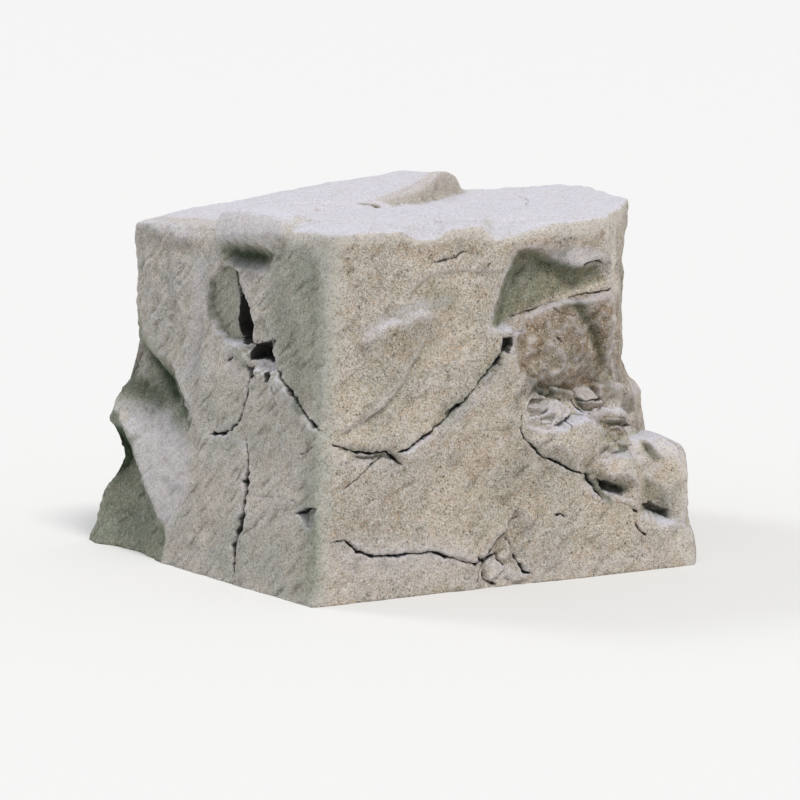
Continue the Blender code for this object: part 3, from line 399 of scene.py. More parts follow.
# A seam: its line, the half width at its widest, its depth.
SEAMS = {
    "long": [(MAIN_JOINT, 0.6, 1.6), (CORNER_JOINT, 0.5, 2.0), (CORNER_FLAKE, 0.4, 0.8),
             (FOOT_JOINT, 0.5, 1.6), (LUMP_JOINT, 0.6, 1.8),
             ([(35, 80.4), (38.6, 81), (42.2, 81.5), (43.9, 82.7), (46.2, 83)], 0.4, 0.7),
             ([(11.5, 82), (14, 82), (15.5, 82.5)], 0.4, 0.3),
             ([(68.4, 15.9), (69.5, 16.3), (71, 15.6)], 0.5, 0.9),
             ([(72, 18), (74, 19.5)], 0.4, 0.4),
             ([(47.5, 39), (53, 38.5), (57.5, 38.5), (62.5, 37.5)], 0.3, 0.25),
             ([(58.5, 65.4), (63, 66.5), (69, 68.2)], 0.3, 0.8),
             ([(68, 67.8), (74.2, 69.1), (80, 69.9)], 0.25, 0.5),
             ([(79, 69.8), (84.5, 70.2), (90, 71)], 0.35, 0.9),
             ([(69.8, 68.1), (72.1, 66.2), (74.7, 65.4), (77.5, 65.1)], 0.35, 0.9),
             ([(55.5, 61.6), (60, 62.4), (66, 63.2)], 0.35, 0.5),
             ([(60.5, 42.5), (64, 44)], 0.4, 1.0),
             ([(61, 54), (63, 51.5), (66, 49.6)], 0.4, 0.8), ([(71, 60), (73, 58.6)], 0.5, 0.8),
             ([(79, 77.5), (84.5, 78.5), (87, 77)], 0.5, 0.9),
             ([(77, 44.5), (77.7, 42.5), (78.8, 40.3)], 0.8, 2.4),
             ([(72.7, 37.3), (73, 39.6), (75, 40.6), (78, 40.3), (80.3, 38.9)], 0.4, 1.1),
             ([(50.9, 7.7), (52.6, 5.9), (54.2, 4.7)], 0.55, 1.2),
             ([(55.8, 8.3), (57.4, 5.7), (59.3, 3), (61.3, 2.1)], 0.8, 1.8),
             ([(44.7, 8.3), (47.8, 6.6), (51.2, 7.5)], 0.6, 1.4),
             ([(47.5, 6.6), (46.3, 3.7), (45.9, 1.1)], 0.5, 1.0),
             ([(47.7, 4.3), (47.9, 2.1), (50.4, 0.9), (51.5, 0.3)], 0.5, 1.0),
             ([(55.8, 17.9), (57.2, 18.3), (58.4, 18.7)], 0.5, 0.9),
             ([(55.8, 17.5), (56.3, 16.2), (57.8, 16.5)], 0.5, 0.9),
             ([(77.1, 26), (78.5, 24.3), (79.9, 22.5), (81.3, 20.3), (82.5, 18.7)], 0.7, 1.8),
             ([(86.9, 19.1), (89.2, 17.2), (91.2, 15.5), (92.7, 14.8)], 0.4, 1.0),
             ([(91.4, 12.6), (92.8, 10.4), (94.9, 9)], 0.5, 1.0), ([(93.5, 9), (93, 4)], 0.4, 0.4),
             ([(62.3, 41), (65.5, 41.2), (69, 42.5)], 0.3, 0.6),
             ([(64.3, 39.2), (68, 39.2), (71, 41.6)], 0.3, 0.6),
             ([(59.2, 40), (60, 43.2), (62.5, 45), (64.5, 47.5)], 0.4, 0.7)],
    "short": [(MIDDLE_JOINT, 1.0, 2.6), ([(41, 37.1), (44.2, 36.3), (50, 35.4)], 0.7, 2.0),
              (UPRIGHT_JOINT, 1.15, 3.2), (CORNER_DIAGONAL, 0.65, 1.8),
              ([(48.9, 76.6), (47.6, 74.6), (46.2, 71.8), (44.6, 68.8)], 0.7, 2.0),
              ([(44.7, 58.9), (39.9, 59.2), (35.3, 60)], 0.35, 1.0),
              ([(30.8, 67.1), (28.7, 64.9), (27.5, 62.4), (27.9, 61.5)], 0.4, 1.1),
              ([(43.7, 55.8), (43.2, 55), (45.7, 54)], 0.5, 0.9),
              ([(43.2, 55.6), (38.6, 54.2), (35.5, 52.8)], 0.3, 0.5),
              ([(23.1, 50.4), (22.3, 49)], 0.6, 0.9), ([(22.6, 47.5), (22.2, 47)], 0.5, 0.8),
              ([(20.7, 46.5), (20.5, 45.8)], 0.4, 0.6), ([(20.7, 44.1), (21.2, 43.1)], 0.5, 0.8),
              ([(28.4, 43.6), (26.5, 45.3)], 0.3, 0.5),
              ([(10.6, 35.3), (7.3, 37), (4.9, 38.1)], 0.4, 0.8),
              ([(30, 22.5), (18.5, 24), (10, 24)], 0.35, 0.3),
              ([(75.5, 49), (73.5, 46), (71, 43)], 0.7, 1.4),
              ([(63.5, 37), (61, 35.5), (58.5, 34)], 0.6, 1.0),
              ([(34.2, 35.9), (32.4, 36.1)], 0.4, 0.8),
              ([(9.5, 21.4), (7, 22.8), (1.6, 23.5)], 0.5, 2.2),
              ([(2, 23), (2.4, 18.2)], 0.4, 1.2)],
    "back": [([(52, 88), (49, 78), (54, 66), (50, 52), (53, 40)], 0.6, 1.6),
             ([(98, 84), (102, 66), (96, 48), (99, 30), (95, 6)], 0.7, 1.8),
             ([(12, 58), (28, 54), (40, 47)], 0.5, 1.2), ([(30, 84), (33, 74), (29, 66)], 0.4, 0.9),
             ([(66, 60), (80, 54), (88, 57)], 0.5, 0.9),
             ([(110, 40), (116, 28), (113, 14)], 0.5, 1.0),
             ([(60, 30), (66, 18), (62, 4)], 0.5, 1.0), ([(70, 24), (82, 14), (96, 12)], 0.4, 0.8)],
    "end": [([(60, 85), (63, 70), (58, 58), (61, 47)], 0.6, 1.6),
            ([(28, 60), (42, 55), (58, 58)], 0.5, 1.2),
            ([(74, 44), (80, 34), (77, 20)], 0.5, 0.9), ([(20, 30), (30, 22), (34, 8)], 0.5, 0.9)],
    "deck": [([(45.2, 57.8), (46.4, 54.7), (46.7, 51.3), (44.4, 42.9), (41.3, 32.9)], 0.35, 0.7),
             ([(37, 27), (42, 34), (49, 45)], 0.3, 0.5),
             ([(43.2, 58.8), (45.7, 57), (47.2, 54.6)], 0.8, 2.0),
             ([(44.2, 25.8), (42.5, 19), (40.8, 12.5)], 0.4, 0.5),
             ([(82, 40), (90, 52), (93, 66)], 0.4, 0.5)],
}

# A step: its line, how far the stone to the left of the line stands proud, over what width it
# rises, and how far from the line it has died away.
STEPS = {
    "long": [(MAIN_JOINT, 1.2, 1.0, 13), (CORNER_JOINT, 0.8, 1.0, 9), (FOLD, 1.1, 1.1, 12),
             (UPPER_FOLD, 0.7, 1.0, 9), (SHELF_LINE, 2.4, 1.8, 8), (FOOT_JOINT, 0.7, 1.0, 7)],
    "short": [(CORNER_DIAGONAL, 1.0, 1.0, 9), (UPRIGHT_JOINT, 0.5, 1.0, 10)],
    "back": [([(99, 30), (96, 48), (102, 66), (98, 84)], 1.4, 1.2, 16)],
    "end": [([(61, 47), (58, 58), (63, 70), (60, 85)], 1.2, 1.2, 14)],
    "deck": [([(8, 62), (24, 55), (36, 52)], 0.8, 4.0, 30),
             ([(46, 59), (51.5, 55), (58, 55.8), (66.3, 62), (77, 72), (88, 82)], 1.2, 1.4, 10)],
}

# A pocket: its outline and its depth.
POCKETS = {
    "long": [([(54.5, 61), (56.6, 61), (57.2, 59.2), (55.8, 57.2), (54, 58)], 2.2),
             ([(11.3, 35.8), (16.1, 35.2), (20.8, 35.9), (22.9, 35), (25.8, 31.7), (23.1, 33.1),
               (20.4, 34.3), (17.4, 33.8), (14.2, 34.3)], 1.0),
             ([(81.2, 24.4), (82.9, 23.4), (85.5, 23.2), (87.9, 22), (89.4, 20.9), (88.4, 19.5),
               (86, 20.3), (83.4, 21), (82, 22.3)], 1.6),
             ([(94.5, 16.7), (96.6, 16.3), (98.1, 16.9), (100.2, 15.4), (103.1, 14.4),
               (102.8, 12.2), (99.5, 13.8), (96.9, 14.5)], 1.5),
             ([(52, 55.5), (53.6, 54.8), (51, 52.2), (50, 53)], 1.0),
             ([(41.8, 45.4), (43, 46.6), (40, 45.6), (37.5, 43.5), (37.8, 42.6)], 0.9)],
    "short": [([(46.4, 72.4), (45, 68.6), (46, 64.4), (45, 61.6), (42.4, 59.4), (39.4, 59),
                (35, 59.4), (35.4, 64.6), (38, 68.4), (42.6, 72)], 3.2),
              ([(35.2, 59.2), (31.7, 59.6), (28.6, 60.8), (25, 60.8), (24.4, 55.8), (28.2, 55.8),
                (30.4, 56), (35.2, 55.4)], 4.0),
              ([(27, 53.2), (24.6, 53.6), (24.3, 51.2), (25.8, 50.8), (26.9, 51.6)], 2.2),
              ([(36.4, 54), (33.3, 53.4), (32.7, 51.8), (34.7, 51.7), (35.8, 52.7)], 1.6),
              ([(25.3, 61.9), (23.3, 61.4), (24.4, 59.6)], 1.4)],
    "back": [],
    "end": [],
    "deck": [([(28.4, 55), (30.4, 56.6), (31, 55), (29.4, 54.2)], 0.6),
             ([(43.6, 26.6), (46, 26), (45, 24.6), (43, 25.2)], 0.8),
             ([(39.8, 13.2), (41.8, 13), (41.4, 11.6)], 0.7),
             ([(48, 25), (50, 26), (50.6, 24.4)], 0.6)],
}

# A chunk: its outline, how far its face stands out in centimetres, and how it slopes along and up.
CHUNKS = {
    "long": [([(64.3, 48.9), (66.3, 48.5), (68.9, 46.6), (70.8, 45.5), (70.2, 44.5), (67.4, 45.2),
               (65.1, 46.9)], -4.6, 0.0, 1.0),
             ([(70.1, 47.9), (77.3, 46.4), (77.2, 43.9), (75.4, 43.3), (71.1, 44.8)],
              -4.6, 0.0, 0.4),
             ([(63.8, 45.5), (68.9, 44.7), (73.2, 43.9), (75.5, 41.4), (73, 40), (70, 38.4),
               (66.4, 38.4), (63, 39), (61, 40.6), (60.2, 42.1)], -2.2, -0.05, -0.75),
             ([(62.8, 43.4), (67.7, 43.6), (68.5, 42.8), (65.6, 41.5), (62.4, 41.5)],
              -1.6, 0.1, 0.5),
             ([(64.3, 40.9), (68.7, 42.3), (70.7, 41.9), (68.3, 39.6), (65.1, 39.6)],
              -1.3, 0.1, 0.5),
             ([(78.5, 46.8), (83.2, 46.2), (84.3, 43.6), (80.4, 42.9), (78.1, 44)],
              -5.0, 0.2, -1.0),
             ([(78.6, 43.1), (85.1, 43.4), (85.6, 42.1), (81.8, 40.2), (79.1, 40.3)],
              -4.9, 0.0, 1.2),
             ([(83.5, 47), (88.8, 47.6), (94.7, 46.5), (95.8, 43.1), (92.7, 40.1), (86.8, 41.7),
               (83.9, 43.7)], -4.4, 0.0, 0.3),
             ([(78.5, 40.5), (81.7, 40.5), (85.6, 42.2), (91.8, 40.3), (94.9, 38.1), (89.9, 38.4),
               (84.1, 39.4), (81.1, 38.8)], -3.4, -0.1, -1.3),
             ([(82.1, 38.5), (85.3, 39.3), (90.3, 38.7), (94.5, 36.9), (96.7, 35), (93.2, 34.2),
               (90.3, 36.0), (85.9, 37.1)], -4.2, 0.0, 1.3),
             ([(84, 34.3), (86.4, 36.4), (89.1, 36.2), (91.9, 33.7), (92.4, 31.1), (88.3, 31.8),
               (84.8, 31.8)], -2.2, 0.1, -0.45),
             ([(81.9, 31.2), (86, 30.4), (91.6, 30.7), (92.4, 28.9), (86.8, 29.4), (82.7, 29)],
              -1.8, 0.0, -0.9),
             ([(48.1, 7.8), (50.7, 8.3), (52.6, 5.9), (54.5, 4.5), (51.9, 2.5), (48.7, 1.8),
               (48, 5.4)], -0.8, -0.1, -0.25),
             ([(50.9, 10.3), (51.8, 11.5), (53.5, 12.3), (55.2, 10.9), (55.7, 8.2), (54.4, 5.5),
               (52.5, 6.5), (51.1, 8.6)], -1.1, 0.12, 0.12),
             ([(54.1, 12.3), (56.2, 15.1), (57.8, 12.9), (57.1, 9.8), (55.9, 7.9), (55.4, 9.9)],
              -1.0, 0.15, 0.0),
             ([(55.1, 7.2), (57.3, 5.5), (59.3, 2.6), (60.9, 0.9), (55.8, 0.7), (53.3, 2.9),
               (54.7, 4.5)], -0.9, 0.0, -0.25)],
    "short": [([(57.3, 73.8), (57.7, 71), (57.6, 67.3), (55.8, 64.4), (51.5, 60.3), (49.4, 58.8),
                (44, 59.2), (41.6, 63), (41, 64.6), (40, 66.4), (40.4, 68.1), (41, 69.4),
                (41.8, 71.2), (43, 73.4), (44.5, 75.4), (47, 76.8), (49.5, 77.2), (53.5, 76.6)],
               -3.5, 0.02, 0.02),
              ([(42, 63.4), (36.4, 62.4), (34.4, 60.6), (43.4, 59.4)], -3.2, 0.0, -0.3),
              ([(9.5, 21.6), (7.3, 23), (1.8, 23.7), (2.4, 18), (6, 18.2)], -1.8, -0.15, -0.35),
              ([(38.4, 58.7), (34.5, 59.3), (35, 56.6), (36.8, 56.6)], -1.4, 0.0, -0.9),
              ([(46.1, 56.9), (40.5, 58.6), (36.4, 56.8), (34, 53.9), (38.6, 54.8), (42.8, 55.8)],
               0.1, 0.0, 0.05),
              ([(34.4, 58.4), (25, 59.8), (23.2, 56.4), (23.1, 53.5), (28.6, 52.7), (33.4, 53)],
               -2.4, 0.0, -0.7),
              ([(33.6, 64.9), (30.8, 67.1), (28.9, 64.9), (27.7, 62.4), (28.1, 60.6), (31.7, 59.2),
                (33.4, 59.6)], -0.9, 0.04, 0.0)],
    "back": [],
    "end": [],
    "deck": [],
}

# Rough places: the outline in centimetres, the size of the lumps in metres, how high they stand,
# and whether they are scooped out, as where stone was chipped, or stand up as rubble.
ROUGH = {
    "long": [([(44, -4), (45, 6), (49, 8), (51, 11), (54.5, 14), (56, 20), (60, 19), (61, 12),
               (63, 2), (63, -4)], 0.024, 0.45, "scooped"),
             ([(57, 52), (62, 50), (70, 51), (80, 47), (90, 50), (98, 46), (98, 34), (92, 34),
               (84, 36), (74, 38), (66, 36), (58, 42)], 0.030, 0.6, "scooped"),
             ([(75.5, 27), (80, 28), (84, 26), (91, 23.5), (91, 18), (84, 17), (79, 19)],
              0.015, 0.8, "scooped"),
             ([(83, 38), (91, 38), (94, 33), (92, 28.5), (83, 29), (80.5, 33)],
              0.016, 0.7, "scooped"),
             ([(93, 18), (104, 17), (104, 11), (94, 12)], 0.016, 0.6, "scooped"),
             ([(59, 60), (70, 67), (93, 70), (93, 46), (62, 48)], 0.038, 0.8, "scooped"),
             ([(84, 78), (70, 72), (60, 68), (56, 66), (62, 80)], 0.035, 0.35, "scooped"),
             ([(57.5, 58.5), (50, 50.5), (42.5, 44.3), (33.5, 38), (24, 33.6), (23, 35.6), (32, 40),
               (41, 47), (48.5, 53.5), (55, 60)], 0.016, 0.45, "scooped"),
             ([(6, 39.4), (13, 38), (20, 37.6), (27, 32.6), (25, 30.4), (18, 33.6), (9, 35.4)],
              0.014, 0.4, "scooped")],
    "short": [([(36, 58), (24, 58), (22, 50), (32, 50)], 0.015, 0.7, "scooped"),
              ([(8, 23), (1, 23), (1, 17), (8, 17)], 0.016, 0.4, "scooped"),
              ([(55, 84), (28, 84), (28, 77), (40, 75), (55, 77)], 0.026, 0.4, "scooped"),
              ([(26, 52), (24, 42), (18, 42), (18, 50)], 0.018, 0.3, "scooped"),
              ([(25, 56.6), (16, 52), (10, 47.6), (4, 43.6), (4, 40.6), (11, 44), (17, 48.4),
                (24, 53)], 0.015, 0.5, "scooped"),
              ([(96, 86), (62, 86), (64, 56), (96, 56)], 0.045, 0.6, "scooped"),
              ([(101, 50), (70, 50), (60, 36), (88, 27), (101, 30)], 0.034, 0.8, "scooped"),
              ([(88, 32), (60, 38), (56, 26), (66, 10)], 0.040, 0.45, "scooped"),
              ([(30, 84), (4, 84), (4, 50), (24, 56)], 0.060, 0.35, "scooped")],
    "back": [([(30, 70), (86, 70), (90, 46), (28, 44)], 0.060, 1.0, "scooped"),
             ([(8, 34), (120, 34), (130, 4), (8, 4)], 0.075, 1.0, "heaped"),
             ([(100, 80), (124, 70), (122, 40), (102, 44)], 0.060, 1.0, "scooped")],
    "end": [([(36, 80), (88, 76), (90, 56), (36, 56)], 0.055, 0.8, "scooped"),
            ([(46, 36), (90, 34), (88, 8), (48, 12)], 0.050, 1.0, "heaped")],
    "deck": [([(-8, 58), (2, 62), (4, 34), (-10, 32)], 0.022, 0.45, "scooped"),
             ([(38, 28), (52, 28), (52, 20), (38, 20)], 0.018, 0.3, "scooped")],
}

# Waves in the skin of each side: (wave length, height) in metres, coarse then fine.
WAVES = {
    "long": [(0.22, 0.006), (0.08, 0.003)],
    "short": [(0.20, 0.007), (0.08, 0.004)],
    "back": [(0.26, 0.012), (0.10, 0.006)],
    "end": [(0.24, 0.010), (0.10, 0.006)],
    "deck": [(0.30, 0.004), (0.09, 0.002)],
}

# Fine unevenness over the whole skin: (wave length, height) in metres.
FINE_WAVES = [(0.055, 0.0028), (0.024, 0.0017), (0.010, 0.0007)]

# Streaks in the skin: their slope in degrees, length, spacing and height in metres.
STREAKS = {
    "long": (35, 0.060, 0.016, 0.0006),
    "short": (-38, 0.070, 0.013, 0.0028),
    "back": (20, 0.090, 0.020, 0.0015),
    "end": (30, 0.090, 0.020, 0.0015),
    "deck": (15, 0.120, 0.022, 0.0006),
}

# How wide the edges of pockets, chunks and closed stains are, how far the painted shade and dirt
# of a pocket reach out of it, and how far the finer cells reach past seams and broken edges, in
# centimetres.
POCKET_EDGE = 0.5
CHUNK_EDGE = 0.45
STAIN_EDGE = 0.1
POCKET_DARK_RIM = 0.35
FINE_PAST_SEAM = 0.7
FINE_PAST_EDGE = 1.1

# How a seam's opening varies along it: the size of the changes in metres, the middle, how far it
# swings, its least and most, and the seed.
RAGGED = [(0.022, 0.75, 1.1, 0.6, 1.4, 61), (0.075, 1.0, 1.4, 0.55, 1.35, 62)]

# How narrow a seam is at its very ends, and how quickly seams and steps grow from their ends: at 9
# they are whole after a ninth of their length.
PINCHED = 0.35
SEAM_GROWTH = 9
STEP_GROWTH = 8

# Rough places: how wide their rim is, and how large and high the finer lumps are, each as a share
# of the main lumps.
ROUGH_RIM = 0.8
FINER_SIZE = 0.45
FINER_HEIGHT = 0.4

# Where the seeds of each kind of unevenness start, and how far apart those of rough places are
# from side to side, from place to place and from the main lumps to the finer ones.
FINE_SEED = 31
STREAK_SEED = 83
WAVER_SEED = 101
ROUGH_SEED = 300
SIDE_APART = 100
PLACE_APART = 40
FINER_APART = 7

# How deep a seam and a pocket have to be to look black inside, in metres: the black is dirt in a
# seam, and painted shade with dirt in a pocket.
BLACK_SEAM = 0.9 * CM
BLACK_POCKET = 2.6 * CM

# How far the stone is worn smooth to find its crests and hollows, and how high a crest stands and
# how deep a hollow lies where its mask is full.
WORN_REACH = 0.028
FULL_CREST = 0.004
FULL_HOLLOW = 0.006

# Grain: the share of the cells that have no pit, and how far the pattern moves from one seed to
# the next in metres.
PITLESS = 0.55
SEED_SHIFT = (3.1, 7.7, 1.3)

# A face belongs to the flat foot when its normal points down so squarely and it lies no higher.
FACES_DOWN = -0.999
FOOT_HEIGHT = 0.001

# How far the laid-out lines waver from true: (wave length, reach) in metres.
WAVER = [(0.060, 0.0040), (0.020, 0.0032), (0.009, 0.0020)]

# Stained places on each side, and places with painted shade or painted light: a line or closed
# outline in centimetres, how far the stain reaches from it, and its strength.
STAINS_AND_PAINTED_LIGHT = {
    # Green film, and painted shade in recesses, dents, under the brow and lip, and on the shaded
    # flank.
    "damp": {
        "long": [([(53, 63.8), (52.6, 67), (55, 71.5), (58, 77), (61.5, 81.8), (66, 81.5), (72, 79),
                   (76, 76.5), (84, 76.5), (86, 73.5), (80, 72), (70, 70), (62, 67.2), (53, 63.8)],
                  1.0, 0.9),
                 ([(36, 72.5), (40, 71)], 5, 0.5), ([(53, 56), (49, 52.5)], 4, 0.6),
                 ([(43, 47), (37, 42)], 3.5, 0.6), ([(12, 37), (24, 35)], 2.5, 0.5),
                 ([(66, 47), (74, 46)], 3, 0.5), ([(64, 32), (72, 29.5)], 3, 0.4),
                 ([(84, 35), (90, 31)], 4, 0.5), ([(78, 26), (84, 22), (89, 22)], 3, 0.6),
                 ([(96, 20), (102, 16)], 4, 0.5), ([(20, 50), (30, 60)], 9, 0.25),
                 ([(50, 20), (60, 26)], 12, 0.25), ([(1, 5), (1.5, 84)], 2.5, 0.35)],
        "short": [([(50, 80.5), (44, 80.5), (34, 81)], 5, 0.8),
                  ([(56.3, 71.8), (56.6, 68), (54.5, 64.5), (51.3, 61), (48.8, 59.2), (35, 60.2),
                    (38, 67), (41.7, 71), (43.5, 74.6), (47.1, 76.4), (53, 76.6), (56.3, 71.8)],
                   0.9, 0.55),
                  ([(96, 56), (86, 50), (78, 45), (70, 39)], 8, 1.2),
                  ([(98, 42), (90, 42), (82, 40)], 7, 1.0),
                  ([(98, 35), (91.8, 31.5), (88, 29), (86, 26), (83, 22.5), (80, 19.5), (74, 13.5),
                    (68, 8), (68, -4), (112, -4), (112, 35), (98, 35)], 1.5, 0.95),
                  ([(40, 58), (36, 54)], 3, 0.5),
                  ([(25, 79), (10, 81), (5, 66), (4, 52), (12, 50), (20, 58), (25, 70), (25, 79)],
                   8, 0.62),
                  ([(20, 40), (44, 40)], 14, 0.22), ([(40, 10), (14, 10)], 12, 0.22),
                  ([(2, 5), (2, 84)], 12, 0.55)],
        "back": [([(40, 58), (80, 54)], 18, 0.8), ([(112, 60), (110, 20)], 18, 0.7),
                 ([(0, 8), (40, 10)], 14, 1.0), ([(4, 42), (16, 44)], 6, 0.8)],
        "end": [([(30, 70), (80, 68)], 14, 0.7), ([(50, 24), (82, 22)], 14, 0.8)],
        "deck": [([(-6, 52), (-8, 36)], 5, 0.35), ([(30, 12), (60, 10)], 6, 0.15)],
    },
    "rust": {
        "long": [([(58.5, 54), (58.4, 60), (57, 64), (62, 66.4), (70, 68.2), (76, 69), (90, 70.5),
                   (93, 52), (92, 44), (80, 44), (72, 46), (63, 49.5), (58.5, 54)], 1.2, 1.0),
                 ([(80, 67), (84, 62), (88, 57), (88, 52)], 4, 1.2),
                 ([(74, 48.5), (88, 48.5)], 3, 1.1),
                 ([(78.5, 39.6), (84, 40.4), (92, 39), (96, 35.6), (92, 34), (86, 36.4), (82, 37.4),
                   (78.5, 39.6)], 0.8, 1.2), ([(79, 42), (85, 42.5)], 1.4, 1.1),
                 ([(65, 48), (70, 45.5)], 1.6, 0.8), ([(63, 42.8), (68, 43.2)], 1.1, 0.8),
                 ([(65, 40.3), (70, 41.6)], 1.0, 0.8), ([(70, 46), (79, 45.5)], 2.2, 0.7),
                 ([(60, 67), (66, 69)], 4, 0.6),
                 ([(58, 84), (84, 84)], 4, 0.5), ([(10, 86), (46, 84)], 5, 0.45),
                 ([(18, 60), (36, 66)], 10, 0.25), ([(50, 30), (58, 30)], 14, 0.25),
                 ([(50, 10), (57, 12)], 5, 0.5), ([(10, 14), (20, 26)], 10, 0.3)],
        "short": [([(94, 82.5), (76, 81.5), (60, 80.5)], 3.5, 0.9),
                  ([(96, 87), (78, 86.6), (58, 86.4)], 3.2, 0.9), ([(84, 76), (70, 66)], 10, 0.35),
                  ([(62, 14), (50, 20)], 12, 0.35), ([(28, 84), (46, 85)], 2, 0.4),
                  ([(20, 64), (12, 50)], 9, 0.25)],
        "back": [([(60, 78), (100, 76)], 12, 0.5), ([(28, 32), (60, 30)], 12, 0.4)],
        "end": [([(0, 70), (6, 66), (9, 60), (10, 50)], 7, 1.0),
                ([(2, 44), (8, 43), (13, 41)], 3.5, 0.9),
                ([(0, 38), (8, 36.4), (22, 33.5)], 2.2, 1.1), ([(30, 50), (50, 52)], 14, 0.6),
                ([(76, 78), (90, 70)], 12, 0.5)],
        "deck": [([(-6, 60), (-9, 92)], 4, 0.7),
                 ([(47.5, 58.5), (51.6, 54.4), (58.3, 55.2), (66.3, 61.2), (77, 71), (89, 82),
                   (88, 88), (76, 77), (65, 67.5), (58, 62.5), (52, 59), (47.5, 58.5)], 0.8, 0.7)],
    },
    # Painted shade, near black green, in the deepest hollows, undercuts and gaps.
    "grime": {
        "long": [([(59, 79), (56.5, 72), (55, 66)], 2.5, 0.3),
                 ([(78, 67.5), (81, 64.5), (84, 60), (87, 54)], 3, 0.75),
                 ([(76, 56), (84, 51), (87, 48)], 3.5, 0.35),
                 ([(74, 67), (80, 67.4)], 1.6, 0.7),
                 ([(62, 50.5), (66, 47.5), (71, 45.6)], 1.4, 0.6),
                 ([(70, 78), (78, 76.5), (84, 77)], 2, 0.5), ([(60, 78), (62, 72)], 3, 0.35),
                 ([(78.5, 44), (79.5, 41.5)], 1.2, 0.7), ([(65, 48), (67, 46.8)], 1.5, 0.6),
                 ([(98, 30.5), (100, 28)], 1.8, 0.4),
                 ([(77.5, 25), (82, 21), (84, 18.5)], 1.3, 0.8),
                 ([(82, 23), (89, 21)], 1.8, 0.7), ([(81, 38.6), (88, 38), (94, 35.8)], 1.2, 0.45),
                 ([(95, 15.5), (103, 13)], 1.8, 0.6)],
        "short": [([(47, 80.8), (42, 80), (38, 80.4)], 4.2, 0.8),
                  ([(38, 80.8), (33, 81.5)], 3.0, 0.45),
                  ([(57.3, 73), (57.4, 68), (55.6, 64)], 0.7, 0.5),
                  ([(100.8, 30.2), (94.8, 30.6), (90.6, 26.8), (88.6, 23.1), (90.6, 21.6),
                    (95, 23.4), (99.3, 27.2), (100.8, 30.2)], 2.0, 1.0),
                  ([(91, 50), (84, 45.5), (77, 41)], 4.5, 1.0), ([(72, 41), (65, 35)], 1.5, 0.6),
                  ([(13, 47.5), (10, 45.3)], 1.8, 0.7), ([(106, 20), (98, 18)], 4, 0.4),
                  ([(99, 42), (90, 41), (83, 39)], 4, 0.35)],
        "back": [([(40, 32), (74, 28)], 3, 0.5),
                 ([(5, 31.5), (11, 31), (13, 22), (9, 18.5), (4, 24), (5, 31.5)], 2.5, 1.1)],
        "end": [([(56, 27), (74, 23)], 5, 0.5)],
        "deck": [([(43.6, 58.6), (46.8, 55)], 1.2, 0.5)],
    },
    # Painted light on up-facing ledges, lumps, lit walls and the scoop, with some pale stone.
    "pale": {
        "long": [([(26, 68.9), (31.8, 70.4), (36.5, 70.4), (39.5, 71.6)], 1.8, 1.0),
                 ([(15.5, 65), (20.5, 67.6), (26, 68.7)], 1.4, 0.8),
                 ([(71, 79.5), (74, 81.3), (80, 81.3), (85, 80), (82, 79), (77, 78.5), (73, 78),
                   (71, 79.5)], 1.5, 0.9),
                 ([(85, 80), (88, 75), (90.5, 71.5)], 1.2, 0.7),
                 ([(63, 65.6), (70, 67.7), (75, 68.8), (80, 68.4), (89, 70.2)], 0.9, 0.9),
                 ([(51, 63.5), (56, 62.8), (58.5, 61.8), (62, 62.3)], 1.4, 0.9),
                 ([(58, 58.5), (54, 54.3), (49.5, 50.3), (47, 47), (42, 43.5), (37, 40)], 0.9, 0.7),
                 ([(61, 42), (64, 44), (71, 42.5), (73.5, 40.5), (71, 38), (64, 38), (61, 42)],
                  1.0, 0.3),
                 ([(78.6, 46.6), (83, 46), (84, 44), (80, 43.4), (78.6, 46.6)], 1.0, 0.5),
                 ([(79, 40), (82, 40), (86, 41), (92, 39.6), (95, 38)], 1.2, 0.9),
                 ([(60.5, 39.3), (64, 37.8), (70, 37.4), (73, 38.9), (77, 39.9), (80.5, 38.5),
                   (83, 35.6)], 1.0, 1.1),
                 ([(84, 29.8), (90, 30), (95, 28), (98, 22)], 1.5, 0.8),
                 ([(94, 33), (100, 34), (106, 33)], 2.5, 0.7),
                 ([(92, 52), (96, 47), (92, 47), (92, 52)], 1.5, 0.6),
                 ([(99, 12.6), (104, 11.2), (108, 10)], 1.8, 0.9),
                 ([(77, 24), (80, 20.5)], 1.2, 0.7),
                 ([(50, 6), (57, 3), (52, 2), (50, 6)], 1.5, 0.6),
                 ([(10, 34), (18, 32.5), (24, 31)], 1.2, 0.5),
                 ([(10, 10), (40, 8)], 9, 0.5), ([(4, 3), (100, 3)], 4, 0.25)],
        "short": [([(91, 36), (86, 37), (80, 36), (72, 33), (66, 31), (61, 28), (59, 21), (66, 11),
                    (70, 12.5), (76, 18), (81, 23), (86, 28.5), (89, 32.5), (91, 36)], 2.5, 0.9),
                  ([(87, 51), (82, 48.5)], 2.2, 0.7),
                  ([(59.5, 76), (60.3, 70), (60.5, 62), (62, 54), (65, 48)], 2.6, 0.9),
                  ([(59.5, 76), (57, 78.4), (53.5, 79.3)], 1.4, 0.9),
                  ([(44, 58.2), (35, 59)], 0.9, 1.0),
                  ([(33, 55), (24.4, 55.4), (24.4, 53.4), (32, 53.4), (33, 55)], 0.8, 0.8),
                  ([(22.6, 52.7), (18.5, 50.3), (14.5, 47.2), (11, 44.5), (7, 42.2)], 1.0, 0.9),
                  ([(40.8, 36), (37.5, 35.5), (34.7, 34.7), (33.2, 33.3)], 0.6, 0.9),
                  ([(49, 34.8), (42, 35.8)], 0.7, 0.8), ([(51, 86), (26, 87.4)], 3.4, 0.9),
                  ([(20.8, 41.5), (19, 40.5)], 1.0, 0.7), ([(24, 51), (22, 46)], 1.0, 0.5),
                  ([(6, 20), (4, 19)], 2.0, 1.0),
                  ([(30, 22.2), (18.5, 23.6), (10, 23.6)], 0.5, 0.7),
